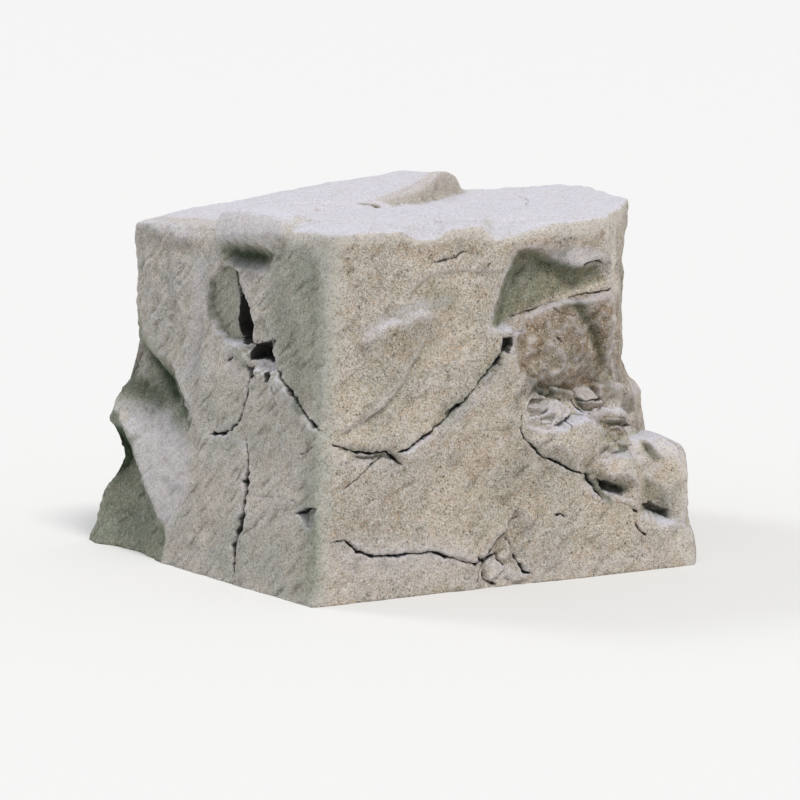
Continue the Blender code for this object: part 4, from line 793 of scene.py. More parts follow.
                  ([(90, 84.5), (62, 84)], 1.8, 0.6), ([(45, 54), (39, 51)], 2.0, 0.5),
                  ([(47, 57.6), (43, 55)], 0.8, 0.6), ([(30, 79), (20, 70), (14, 60)], 4.0, 0.25)],
        "back": [([(14, 43), (52, 37), (76, 34), (98, 40)], 3, 0.6)],
        "end": [([(14, 44), (26, 43), (48, 41)], 3, 0.7)],
        "deck": [],
    },
}

# ---------------------------------------------------------------------------------------------
# Looks: every colour as sRGB hex.
# ---------------------------------------------------------------------------------------------

# The masks that the shape gives its material.
MASKS = ("open", "crest", "hollow", "streak", "shade", *STAINS_AND_PAINTED_LIGHT)

# Patterns in the stone: the size of their patches, how many finer layers, and how strong those are.
# The grit stands for crystal edges of about 1 mm, and is drawn three times as coarse so that it
# shows.
CLOUDS = {
    "patches": (160 * MM, 3.0, 0.55),
    "blotches": (45 * MM, 3.0, 0.55),
    "mottle": (14 * MM, 3.0, 0.55),
    "speckle": (6 * MM, 2.0, 0.7),
    "grit": (3 * MM, 1.0, 0.55),
}

# Crystals: their size. Each one has three steady random numbers.
CRYSTALS = {"small": 3.2 * MM, "flecks": 4.2 * MM, "large": 5 * MM}

# The bumps of the skin: the pattern, its strength and how far it stands up.
BUMPS = [("mottle", 0.7, 5 * MM), ("speckle", 0.9, 2.8 * MM), ("grit", 0.6, 1.4 * MM)]

# What covers the sandy ground, from the bottom up, painted light and shade among it: the colour,
# how it is laid, and the patterns that are multiplied to say how strongly. A pattern is a number,
# the name of a mask, or a name with the values where it starts and ends and the strengths there.
COATS = [
    ("ash", "MIX", ("patches", 0.40, 0.60, 0.0, 1.0)),
    ("tan", "MIX", ("blotches", 0.42, 0.72, 0.0, 0.45)),
    ("feldspar_and_ridge_light", "MIX", ("mottle", 0.40, 0.75, 0.0, 0.40)),
    ("feldspar_and_ridge_light", "MIX", ("speckle", 0.48, 0.75, 0.0, 0.40)),
    ("shadow", "MIX", ("speckle", 0.50, 0.25, 0.0, 0.40)),
    ("feldspar_and_ridge_light", "MIX", ("grit", 0.50, 0.70, 0.0, 0.55)),
    ("shadow", "MIX", ("grit", 0.50, 0.30, 0.0, 0.60)),
    ("feldspar_and_ridge_light", "MIX", ("small 0", 0.80, 0.95, 0.0, 0.40)),
    ("tan", "MIX", ("small 1", 0.82, 0.95, 0.0, 0.45)),
    ("mica", "MIX", ("small 2", 0.955, 0.975, 0.0, 0.65)),
    ("mica", "MIX", ("large 2", 0.982, 0.988, 0.0, 0.70)),
    ("rust", "MULTIPLY", "rust", ("blotches", 0.25, 0.60, 0.55, 1.0)),
    # Painted cool shade tint, with thin lichen, on the sides turned from the sun.
    ("lichen_and_shade_tint", "MIX", "shade", 0.26),
    # Painted shade in the troughs and painted light on the crests of the fine ridges.
    ("shadow", "MULTIPLY", ("streak", 0.48, 0.10, 0.0, 0.62)),
    ("feldspar_and_ridge_light", "MIX", ("streak", 0.52, 0.90, 0.0, 0.46)),
    ("tan", "MIX", ("flecks 0", 0.78, 0.95, 0.0, 0.34)),
    ("feldspar_and_ridge_light", "MIX", ("flecks 1", 0.78, 0.95, 0.0, 0.44)),
    ("slate", "MIX", ("flecks 2", 0.84, 0.97, 0.0, 0.44)),
    # Paler on convex crests.
    ("chalk", "MIX", "crest", 0.40),
    # Pale stone, and painted light on lit ledges and lumps.
    ("chalk", "MIX", "pale", ("mottle", 0.25, 0.60, 0.6, 1.0), 0.60),
    # Pale dust, and painted light on what faces the sky.
    ("dust_and_top_light", "MIX", ("facing", 0.50, 0.97, 0.0, 1.0), ("blotches", 0.2, 0.6, 0.75, 1.0),
     ("rust", 0.0, 1.0, 1.0, 0.25), ("speckle", 0.3, 0.6, 0.62, 0.88)),
    # Green film, and painted shade in recesses, dents and on the shaded flank.
    ("film_and_shade", "MULTIPLY", "damp", ("mottle", 0.25, 0.65, 0.60, 1.0)),
    # Painted shade in the hollows of the skin.
    ("film_and_shade", "MULTIPLY", "hollow", 0.60),
    # Painted shade in the deepest hollows.
    ("grime", "MULTIPLY", "grime"),
    ("shadow", "MULTIPLY", ("speckle", 0.52, 0.28, 0.0, 0.30)),
    # Dark dirt in open joints, and painted shade with dirt in the deep pockets.
    ("dirt_and_shade", "MIX", ("open", 0.15, 0.95, 0.0, 0.95)),
]


def linear(colour):
    """An sRGB hex colour as the linear red, green, blue and alpha that a node takes."""
    parts = [int(colour[place:place + 2], 16) / 255 for place in (1, 3, 5)]
    return tuple(part / 12.92 if part <= 0.04045 else ((part + 0.055) / 1.055) ** 2.4
                 for part in parts) + (1.0,)


def colour_property(name, description, colour):
    """A colour that a user can change, with its hex value as the default."""
    return bpy.props.FloatVectorProperty(name=name, description=description, subtype="COLOR",
                                         size=4, min=0.0, max=1.0, default=linear(colour))


def length_property(name, description, metres, lowest, highest):
    """A length that a user can change."""
    return bpy.props.FloatProperty(name=name, description=description, default=metres, min=lowest,
                                   max=highest, unit="LENGTH", precision=4)


class BoulderShape(bpy.types.PropertyGroup):
    """How finely the stone is made and how rough its skin is."""

    cell: length_property("Cell", "Size of the cells that the skin is made from", 0.004, 0.003,
                          0.02)
    rounding: length_property("Rounding", "How far the edges of the mass are worn round", 0.020,
                              0.002, 0.08)
    crease: length_property("Crease softness", "How far the creases of the relief are worn", 0.007,
                            0.0, 0.03)
    pit_spacing: length_property("Pit spacing", "Distance between pits", 0.021, 0.005, 0.1)
    pit_width: length_property("Pit width", "Width of a pit", 0.011, 0.002, 0.05)
    pit_depth: length_property("Pit depth", "Depth of a pit", 0.0022, 0.0, 0.01)
    grain_size: length_property("Grain size", "Size of the skin's coarse grain", 0.011, 0.003, 0.05)
    grain_height: length_property("Grain height", "How far the grain stands up", 0.0010, 0.0,
                                  0.01)
    triangles: bpy.props.IntProperty(name="Triangles",
                                     description="Triangles in the finished stone",
                                     default=192000, min=20000, max=198000)
    seed: bpy.props.IntProperty(name="Seed", description="Which pits and grain are drawn",
                                default=4, min=0, max=1000)


class BoulderColours(bpy.types.PropertyGroup):
    """The colours of the stone, of what lies on it, and of the shade and light painted on it."""

    sand: colour_property("Sand", "Main colour of the stone", "#bcae9b")
    ash: colour_property("Ash", "Greyer patches of the stone", "#a7a195")
    tan: colour_property("Tan", "Warmer patches and flecks of the stone", "#ad9070")
    # Pale mineral flecks, also the colour of painted light on the crests of the fine ridges.
    feldspar_and_ridge_light: colour_property("Feldspar", "Pale mineral flecks", "#dcd6cf")
    # Dull specks, also the colour of painted shade in the troughs of the fine ridges.
    shadow: colour_property("Shadow", "Dull specks between the flecks", "#8d8577")
    slate: colour_property("Slate", "Blue-grey flecks all over", "#707b7a")
    mica: colour_property("Mica", "Dark mineral flecks", "#3c3b36")
    # Thin lichen, and painted cool shade tint, on the sides turned from the sun.
    lichen_and_shade_tint: colour_property("Lichen", "Thin grey-green growth on the sides turned from the sun",
                            "#c3ccd2")
    # Green film, also the colour of the painted shade in recesses and hollows.
    film_and_shade: colour_property("Film", "Green film where the stone stays damp", "#a9b5a3")
    # Painted shade, nearly black green, in the deepest hollows.
    grime: colour_property("Grime", "Nearly black green in the deepest hollows", "#748670")
    rust: colour_property("Rust", "Brown stain in sheltered places", "#c9bdae")
    # Pale dust, and the colour of painted light on what faces the sky.
    dust_and_top_light: colour_property("Dust", "Pale bloom on what faces the sky", "#d6d5e2")
    # Pale stone, paler on convex crests, and the colour of painted light on lit ledges.
    chalk: colour_property("Chalk", "Fresh, pale stone on worn edges and ledges", "#cfccd4")
    # Dark dirt in open joints, also the colour of painted shade in deep pockets.
    dirt_and_shade: colour_property("Dirt", "Dark dirt in open joints", "#14120e")


class StageLook(bpy.types.PropertyGroup):
    """The floor and the lights."""

    floor: colour_property("Floor", "Colour of the floor", "#e6e6e6")
    key: bpy.props.FloatProperty(name="Key light", description="Strength of the main light",
                                 default=2.0, min=0.0, max=10.0)
    fill: bpy.props.FloatProperty(name="Fill light",
                                  description="Strength of the light from all round",
                                  default=0.54, min=0.0, max=5.0)


# ---------------------------------------------------------------------------------------------
# Seeded noise on arrays of points.
# ---------------------------------------------------------------------------------------------

def scramble(cells, seed):
    """A steady random number from 0 to 1 for each cell of whole numbers.

    The large odd factors carry every bit of a cell and its seed into the whole number.
    """
    mixed = np.full(cells.shape[:-1], (seed * 668265263 + 974711) % 2 ** 32, dtype=np.uint32)
    for axis in range(cells.shape[-1]):
        mixed ^= cells[..., axis].astype(np.int32).view(np.uint32) * np.uint32(374761393)
        mixed = (mixed ^ (mixed >> np.uint32(15))) * np.uint32(2246822519)
        mixed = (mixed ^ (mixed >> np.uint32(13))) * np.uint32(3266489917)
        mixed ^= mixed >> np.uint32(16)
    return mixed / 2.0 ** 32


def scramble_vector(cells, seed):
    """A steady random vector, each part from -1 to 1, for each cell."""
    parts = [scramble(cells, seed + 17 * (axis + 1)) for axis in range(cells.shape[-1])]
    return np.stack(parts, axis=-1) * 2 - 1


def ripple(points, size, seed):
    """Smooth noise, about -1 to 1, with swells of the given size."""
    place = points / size
    cell = np.floor(place)
    part = place - cell
    fade = part ** 3 * (part * (part * 6 - 15) + 10)
    height = np.zeros(len(points))
    for corner in itertools.product((0, 1), repeat=points.shape[1]):
        slope = scramble_vector(cell + corner, seed)
        weight = np.prod(np.where(corner, fade, 1 - fade), axis=1)
        height += weight * np.sum((part - corner) * slope, axis=1)
    return height * 1.5


def scallops(points, size, seed):
    """Shallow scoops that meet in ridges, one for each uneven cell, about -1 to 1 high."""
    place = points / size
    cell = np.floor(place)
    height = np.full(len(points), 9.0)
    for step in itertools.product((-1, 0, 1), repeat=points.shape[1]):
        near = cell + step
        away = place - near - 0.5 - 0.4 * scramble_vector(near, seed)
        slope = 0.55 * scramble_vector(near, seed + 5)
        lift = 0.25 * scramble(near, seed + 9)
        height = np.minimum(height, np.sum(away * (slope + 0.9 * away), axis=1) + lift)
    return height * 2 - 0.5


# ---------------------------------------------------------------------------------------------
# Making the stone.
# ---------------------------------------------------------------------------------------------

def new_object(name, bm):
    """A scene object that holds the finished bmesh."""
    mesh = bpy.data.meshes.new(name)
    bm.to_mesh(mesh)
    bm.free()
    thing = bpy.data.objects.new(name, mesh)
    bpy.context.collection.objects.link(thing)
    return thing


def hull(name, corners):
    """A convex block around the corners."""
    bm = bmesh.new()
    for corner in corners:
        bm.verts.new(corner)
    made = bmesh.ops.convex_hull(bm, input=bm.verts)
    inside = [item for item in made["geom_interior"] if isinstance(item, bmesh.types.BMVert)]
    bmesh.ops.delete(bm, geom=inside, context="VERTS")
    bmesh.ops.recalc_face_normals(bm, faces=bm.faces)
    return new_object(name, bm)


def join_block(stone, block):
    """Fuse another block to the stone."""
    fuse = stone.modifiers.new(block.name, "BOOLEAN")
    fuse.operation = "UNION"
    fuse.solver = "EXACT"
    fuse.object = block


class Relief:
    """The surface through a side's break lines, read at any place along and up."""

    def __init__(self, breaks):
        points = []
        edges = []
        heights = []
        for line in breaks.values():
            first = len(points)
            points += [Vector((along, up)) * CM for along, up, out in line]
            heights += [out * CM for along, up, out in line]
            edges += [(first + step, first + step + 1) for step in range(len(line) - 1)]
        net = delaunay_2d_cdt(points, edges, [], 0, 1e-5)
        self.points = np.array([tuple(point) for point in net[0]])
        self.triangles = [face for face in net[2] if len(face) == 3]
        self.heights = np.zeros(len(self.points))
        for place, sources in enumerate(net[3]):
            if sources:
                self.heights[place] = np.mean([heights[source] for source in sources])
            else:
                self.heights[place] = self.crossing_height(place, points, edges, heights)

    def crossing_height(self, place, points, edges, heights):
        """The height where two break lines cross: that of the nearest one there."""
        spot = self.points[place]
        best = (1e9, 0.0)
        for start, end in edges:
            first = np.array(points[start])
            run = np.array(points[end]) - first
            share = np.clip((spot - first) @ run / (run @ run), 0, 1)
            gap = np.linalg.norm(first + run * share - spot)
            best = min(best, (gap, heights[start] + (heights[end] - heights[start]) * share))
        return best[1]

    def read(self, along, up):
        """The height at each place, and zero outside the net."""
        out = np.zeros(len(along))
        for corners in self.triangles:
            a, b, c = self.points[list(corners)]
            low, high = np.min((a, b, c), axis=0), np.max((a, b, c), axis=0)
            near = np.flatnonzero((along >= low[0]) & (along <= high[0])
                                  & (up >= low[1]) & (up <= high[1]))
            if not len(near):
                continue
            area = (b[0] - a[0]) * (c[1] - a[1]) - (c[0] - a[0]) * (b[1] - a[1])
            x = along[near] - a[0]
            y = up[near] - a[1]
            to_b = (x * (c[1] - a[1]) - y * (c[0] - a[0])) / area
            to_c = (y * (b[0] - a[0]) - x * (b[1] - a[1])) / area
            inside = (to_b >= 0) & (to_c >= 0) & (to_b + to_c <= 1)
            at_a, at_b, at_c = self.heights[list(corners)]
            level = at_a + (at_b - at_a) * to_b + (at_c - at_a) * to_c
            out[near[inside]] = level[inside]
        return out


def ease(value):
    """A smooth rise from 0 to 1."""
    value = np.clip(value, 0, 1)
    return value * value * (3 - 2 * value)


def follow(along, up, line):
    """The nearest place on a line of points: the gap to it, its side, and its share of the way."""
    points = np.array(line) * CM
    runs = np.diff(points, axis=0)
    lengths = np.hypot(runs[:, 0], runs[:, 1])
    passed = np.concatenate([[0.0], np.cumsum(lengths)])
    gap = np.full(len(along), 1e9)
    left = np.zeros(len(along))
    way = np.zeros(len(along))
    for (x, y), run, length, before in zip(points, runs, lengths, passed):
        offset_x = along - x
        offset_y = up - y
        share = np.clip((offset_x * run[0] + offset_y * run[1]) / length ** 2, 0, 1)
        distance = np.hypot(offset_x - share * run[0], offset_y - share * run[1])
        nearer = distance < gap
        gap[nearer] = distance[nearer]
        left[nearer] = np.sign(run[0] * offset_y - run[1] * offset_x)[nearer]
        way[nearer] = ((before + share * length) / passed[-1])[nearer]
    return gap, left, way


def seam_depth(along, up, seams):
    """How deep the open seams cut at each place; a seam is ragged and pinches out at its ends."""
    cut = np.zeros(len(along))
    spots = np.column_stack([along, up])
    ragged = np.ones(len(along))
    for size, middle, swing, least, most, seed in RAGGED:
        ragged *= np.clip(middle + swing * ripple(spots, size, seed), least, most)
    for line, width, depth in seams:
        gap, left, way = follow(along, up, line)
        grown = ease(np.minimum(way, 1 - way) * SEAM_GROWTH)
        opening = ragged * (PINCHED + (1 - PINCHED) * grown)
        cut = np.maximum(cut, depth * CM * np.minimum(opening, 1)
                         * (1 - ease(gap / (width * CM * opening))))
    return cut


def step_rise(along, up, steps):
    """How far the stone beside the steps stands proud at each place."""
    rise = np.zeros(len(along))
    for line, height, slope, reach in steps:
        gap, left, way = follow(along, up, line)
        fade = ease(gap / (slope * CM)) * (1 - ease(gap / (reach * CM)))
        ends = ease(np.minimum(way, 1 - way) * STEP_GROWTH)
        rise += np.where(left > 0, height * CM * fade * ends, 0)
    return rise


def finished_mesh(thing):
    """The object's mesh with its modifiers worked in."""
    evaluated = thing.evaluated_get(bpy.context.evaluated_depsgraph_get())
    return bpy.data.meshes.new_from_object(evaluated)


def work_in(thing):
    """Work the object's modifiers into its mesh."""
    mesh = finished_mesh(thing)
    thing.modifiers.clear()
    thing.data = mesh


def positions(mesh):
    """Every vertex's place as an array."""
    flat = np.zeros(len(mesh.vertices) * 3)
    mesh.vertices.foreach_get("co", flat)
    return flat.reshape(-1, 3)


def set_positions(mesh, points):
    """Put every vertex in its place."""
    mesh.vertices.foreach_set("co", points.ravel())
    mesh.update()


def set_mask(mesh, name, values):
    """Store a number from 0 to 1 on every vertex."""
    layer = mesh.attributes.get(name) or mesh.attributes.new(name, "FLOAT", "POINT")
    layer.data.foreach_set("value", np.clip(values, 0, 1).astype(np.float32))


def smooth(thing, reach, cell):
    """Wear the mesh down evenly over the given reach."""
    wear = thing.modifiers.new("Worn", "SMOOTH")
    wear.factor = 0.5
    wear.iterations = max(1, round((reach / cell) ** 2))
    work_in(thing)


def rounded_mass(shape):
    """The fused blocks with their edges weathered round."""
    stone = hull("boulder_stone", upper_mass())
    blocks = [hull(name, corners) for name, corners in
              (("shelf", shelf_mass()), ("step", step_mass()), ("toe", toe_mass()),
               ("wedge", wedge_mass()))]
    for block in blocks:
        join_block(stone, block)
    remesh = stone.modifiers.new("Even cells", "REMESH")
    remesh.mode = "VOXEL"
    remesh.voxel_size = shape.cell
    work_in(stone)
    for block in blocks:
        bpy.data.objects.remove(block, do_unlink=True)
    smooth(stone, shape.rounding, shape.cell)
    return stone


def within(along, up, outline, soft):
    """1 inside an outline, 0 outside it, with a soft edge on the inside."""
    closed = outline if outline[0] == outline[-1] else outline + outline[:1]
    inside = np.zeros(len(along), dtype=bool)
    for (x0, y0), (x1, y1) in zip(closed, closed[1:]):
        spans = (y0 * CM > up) != (y1 * CM > up)
        if y0 != y1:
            inside ^= spans & (along < x0 * CM + (up - y0 * CM) * (x1 - x0) / (y1 - y0))
    return np.where(inside, ease(follow(along, up, closed)[0] / soft), 0)


def pocket_depth(along, up, pockets):
    """How deep the broken-out pockets go at each place."""
    cut = np.zeros(len(along))
    for outline, depth in pockets:
        cut = np.maximum(cut, depth * CM * within(along, up, outline, POCKET_EDGE * CM))
    return cut


def chunk_rise(along, up, level, chunks):
    """How far each chunk's flat, sloping face lies from the level of the stone round it."""
    rise = np.zeros(len(along))
    for outline, out, slope_along, slope_up in chunks:
        share = within(along, up, outline, CHUNK_EDGE * CM)
        middle = np.mean(outline, axis=0) * CM
        face = out * CM + slope_along * (along - middle[0]) + slope_up * (up - middle[1])
        rise += share * (face - level - rise)
    return rise


def streak_height(along, up, streak):
    """Fine ridges that run one way across a side."""
    slope, length, spacing, height = streak
    turn = math.radians(slope)
    run = (along * math.cos(turn) + up * math.sin(turn)) / length
    rise = (up * math.cos(turn) - along * math.sin(turn)) / spacing
    return height * ripple(np.column_stack([run, rise]), 1.0, STREAK_SEED)


# This tone sets the painted shade in the ridges' troughs and painted light on their crests.
def streak_tone(name, points, along, up):
    """How far up the fine ridges of a side each place lies, from 0 to 1."""
    return 0.5 + 0.5 * streak_height(along, up, STREAKS[name]) / STREAKS[name][3]


def rough_height(points, along, up, places, seed):
    """How far rubble stands up and chips are scooped out at each place."""
    height = np.zeros(len(along))
    for number, (outline, size, reach, kind) in enumerate(places):
        share = within(along, up, outline, size * ROUGH_RIM)
        spots = np.flatnonzero(share)
        start = seed + PLACE_APART * number
        scoops = scallops(points[spots], size, start)
        scoops += FINER_HEIGHT * scallops(points[spots], size * FINER_SIZE, start + FINER_APART)
        sign = -1 if kind == "heaped" else 1
        height[spots] += sign * scoops * share[spots] * reach * CM
    return height


def side_share(behind, rivals):
    """How much of a side's relief each point takes: all on the side, none well behind it."""
    return 1 - ease((behind - np.minimum.reduce(rivals)) / SIDE_BLEND)


def wave_height(points, waves):
    """A soft, uneven swell."""
    height = np.zeros(len(points))
    for length, size in waves:
        height += size * np.array([noise.noise(Vector(point / length)) for point in points])
    return height


def waver(points):
    """How far the laid-out lines stray along and up at each point."""
    astray = np.zeros((len(points), 2))
    for number, (length, reach) in enumerate(WAVER):
        for way in (0, 1):
            astray[:, way] += reach * ripple(points, length, WAVER_SEED + 10 * number + way)
    return astray


# The sides that are turned from the sun, and every side with its break lines.
SHADED_SIDES = ("short", "back")
SIDES = {"long": (LONG, LONG_BREAKS), "short": (SHORT, SHORT_BREAKS), "back": (BACK, BACK_BREAKS),
         "end": (END, END_BREAKS), "deck": (DECK, DECK_BREAKS)}


class Skin:
    """The rounded mass read side by side, so that relief and masks share one reading."""

    def __init__(self, mesh):
        self.points = positions(mesh)
        places = {name: side.read(self.points) for name, (side, breaks) in SIDES.items()}
        behind = {name: place[2] for name, place in places.items()}
        behind["end"] = end_depth(self.points)
        astray = waver(self.points)
        self.sides = {}
        self.levels = {}
        for name, (along, up, depth) in places.items():
            share = side_share(behind[name], [behind[other] for other in SIDES if other != name])
            spots = np.flatnonzero(share)
            self.sides[name] = (spots, share[spots], along[spots] + astray[spots, 0],
                                up[spots] + astray[spots, 1])

    def gather(self, measure):
        """Measure every side and add up its share at each point."""
        total = np.zeros(len(self.points))
        for name, (spots, share, along, up) in self.sides.items():
            total[spots] += share * measure(name, self.points[spots], along, up)
        return total

    def push(self, points, measure):
        """Move points out along each side by what is measured there."""
        for name, (spots, share, along, up) in self.sides.items():
            outward = SIDES[name][0].outward
            rise = share * measure(name, self.points[spots], along, up)
            points[spots] += outward * rise[:, None]
        return points

    def read_forms(self, name, points, along, up):
        """The ledges, hollows, lumps, steps and swells of a side, kept for the finer relief."""
        relief = Relief(SIDES[name][1]).read(along, up)
        relief += step_rise(along, up, STEPS[name])
        relief += wave_height(points, WAVES[name])
        self.levels[name] = relief
        return relief

    def read_detail(self, name, points, along, up):
        """Joints, chunks, rubble, chips and fine unevenness."""
        seed = ROUGH_SEED + SIDE_APART * list(SIDES).index(name)
        relief = chunk_rise(along, up, self.levels[name], CHUNKS[name])
        relief += rough_height(points, along, up, ROUGH[name], seed)
        relief += streak_height(along, up, STREAKS[name])
        for number, (length, height) in enumerate(FINE_WAVES):
            relief += height * ripple(points, length, FINE_SEED + number)
        return relief - openings(name, points, along, up)


def openings(name, points, along, up):
    """How deep the joints, cracks and pockets of a side go."""
    return np.maximum(seam_depth(along, up, SEAMS[name]), pocket_depth(along, up, POCKETS[name]))


def darkness(name, points, along, up):
    """How dark the joints and pockets are: dirt in joints, painted shade and dirt in pockets."""
    dark = seam_depth(along, up, SEAMS[name]) / BLACK_SEAM
    for outline, depth in POCKETS[name]:
        edge = follow(along, up, outline + outline[:1])[0]
        inside = within(along, up, outline, POCKET_EDGE * CM) > 0
        share = np.where(inside, 1, 1 - ease(edge / (POCKET_DARK_RIM * CM)))
        dark = np.maximum(dark, share * depth * CM / BLACK_POCKET)
    return dark


def fine_place(name, points, along, up):
    """Above zero where a side needs finer cells: near its joints and on its broken places."""
    near = np.zeros(len(along))
    for line, width, depth in SEAMS[name]:
        near = np.maximum(near, follow(along, up, line)[0] < (width + FINE_PAST_SEAM) * CM)
    for outline, *rest in POCKETS[name] + CHUNKS[name]:
        edge = follow(along, up, outline + outline[:1])[0]
        near = np.maximum(near, edge < FINE_PAST_EDGE * CM)
    return near


def stain_and_painted_light(kind):
    """A measure of how strongly a side is stained or painted with shade or light at each place."""
    def strength(name, points, along, up):
        total = np.zeros(len(along))
        for line, reach, amount in STAINS_AND_PAINTED_LIGHT[kind][name]:
            share = 1 - ease(follow(along, up, line)[0] / (reach * CM))
            if line[0] == line[-1]:
                share = np.maximum(share, within(along, up, line, STAIN_EDGE * CM))
            total = np.maximum(total, amount * share)
        return total
    return strength


def in_shade(name, *place):
    """1 on the sides that are turned from the sun."""
    return float(name in SHADED_SIDES)


def worn_rise(stone, shape):
    """How far each vertex stands out from the same stone worn smooth: crests up, hollows down."""
    sharp = positions(stone.data)
    normals = np.zeros(len(sharp) * 3)
    stone.data.vertices.foreach_get("normal", normals)
    worn = stone.copy()
    worn.data = stone.data.copy()
    bpy.context.collection.objects.link(worn)
    smooth(worn, WORN_REACH, shape.cell)
    rise = np.sum((sharp - positions(worn.data)) * normals.reshape(-1, 3), axis=1)
    bpy.data.objects.remove(worn, do_unlink=True)
    return rise


def refine(stone):
    """Halve the cells near the joints and on the broken places."""
    near = Skin(stone.data).gather(fine_place) > 0
    bm = bmesh.new()
    bm.from_mesh(stone.data)
    edges = [edge for edge in bm.edges if all(near[vertex.index] for vertex in edge.verts)]
    bmesh.ops.subdivide_edges(bm, edges=edges, cuts=1, use_grid_fill=True)
    bm.to_mesh(stone.data)
    bm.free()


def carve(stone, shape):
    """Give the rounded mass its relief and store the masks that its material reads."""
    refine(stone)
    skin = Skin(stone.data)
    set_positions(stone.data, skin.push(skin.points.copy(), skin.read_forms))
    smooth(stone, shape.crease, shape.cell)
    set_positions(stone.data, skin.push(positions(stone.data), skin.read_detail))
    rise = worn_rise(stone, shape)
    # The hollow mask sets where painted shade darkens concave places.
    masks = {"crest": rise / FULL_CREST, "hollow": -rise / FULL_HOLLOW,
             "open": skin.gather(darkness), "streak": skin.gather(streak_tone),
             "shade": skin.gather(in_shade)}
    masks.update({kind: skin.gather(stain_and_painted_light(kind)) for kind in STAINS_AND_PAINTED_LIGHT})
    for name in MASKS:
        set_mask(stone.data, name, masks[name])


def cut_at_ground(stone, shape):
    """Thin the skin, cut the stone off flat at the ground, close it and centre it."""
    thin = stone.modifiers.new("Fewer triangles", "DECIMATE")
    thin.ratio = shape.triangles / sum(len(face.vertices) - 2 for face in stone.data.polygons)
    work_in(stone)
    bm = bmesh.new()
    bm.from_mesh(stone.data)
    everything = bm.verts[:] + bm.edges[:] + bm.faces[:]
    bmesh.ops.bisect_plane(bm, geom=everything, dist=1e-5, plane_co=(0, 0, 0), plane_no=UP,
                           clear_inner=True)
    rim = [edge for edge in bm.edges if edge.is_boundary]
    filled = bmesh.ops.edgenet_fill(bm, edges=rim)
    bmesh.ops.triangulate(bm, faces=filled["faces"])
    bmesh.ops.recalc_face_normals(bm, faces=bm.faces)
    for face in bm.faces:
        face.smooth = (face.normal.z > FACES_DOWN
                       or face.calc_center_median().z > FOOT_HEIGHT)
    bmesh.ops.translate(bm, verts=bm.verts, vec=-MIDDLE)
    bm.to_mesh(stone.data)
    bm.free()


# ---------------------------------------------------------------------------------------------
# Node trees.
# ---------------------------------------------------------------------------------------------

def add(tree, kind, links=None, **settings):
    """Add a node, give it its settings, and link or set its inputs by name or number."""
    node = tree.nodes.new(kind)
    for name, value in settings.items():
        setattr(node, name, value)
    for place, value in (links or {}).items():
        if isinstance(value, bpy.types.NodeSocket):
            tree.links.new(value, node.inputs[place])
        else:
            node.inputs[place].default_value = value
    return node


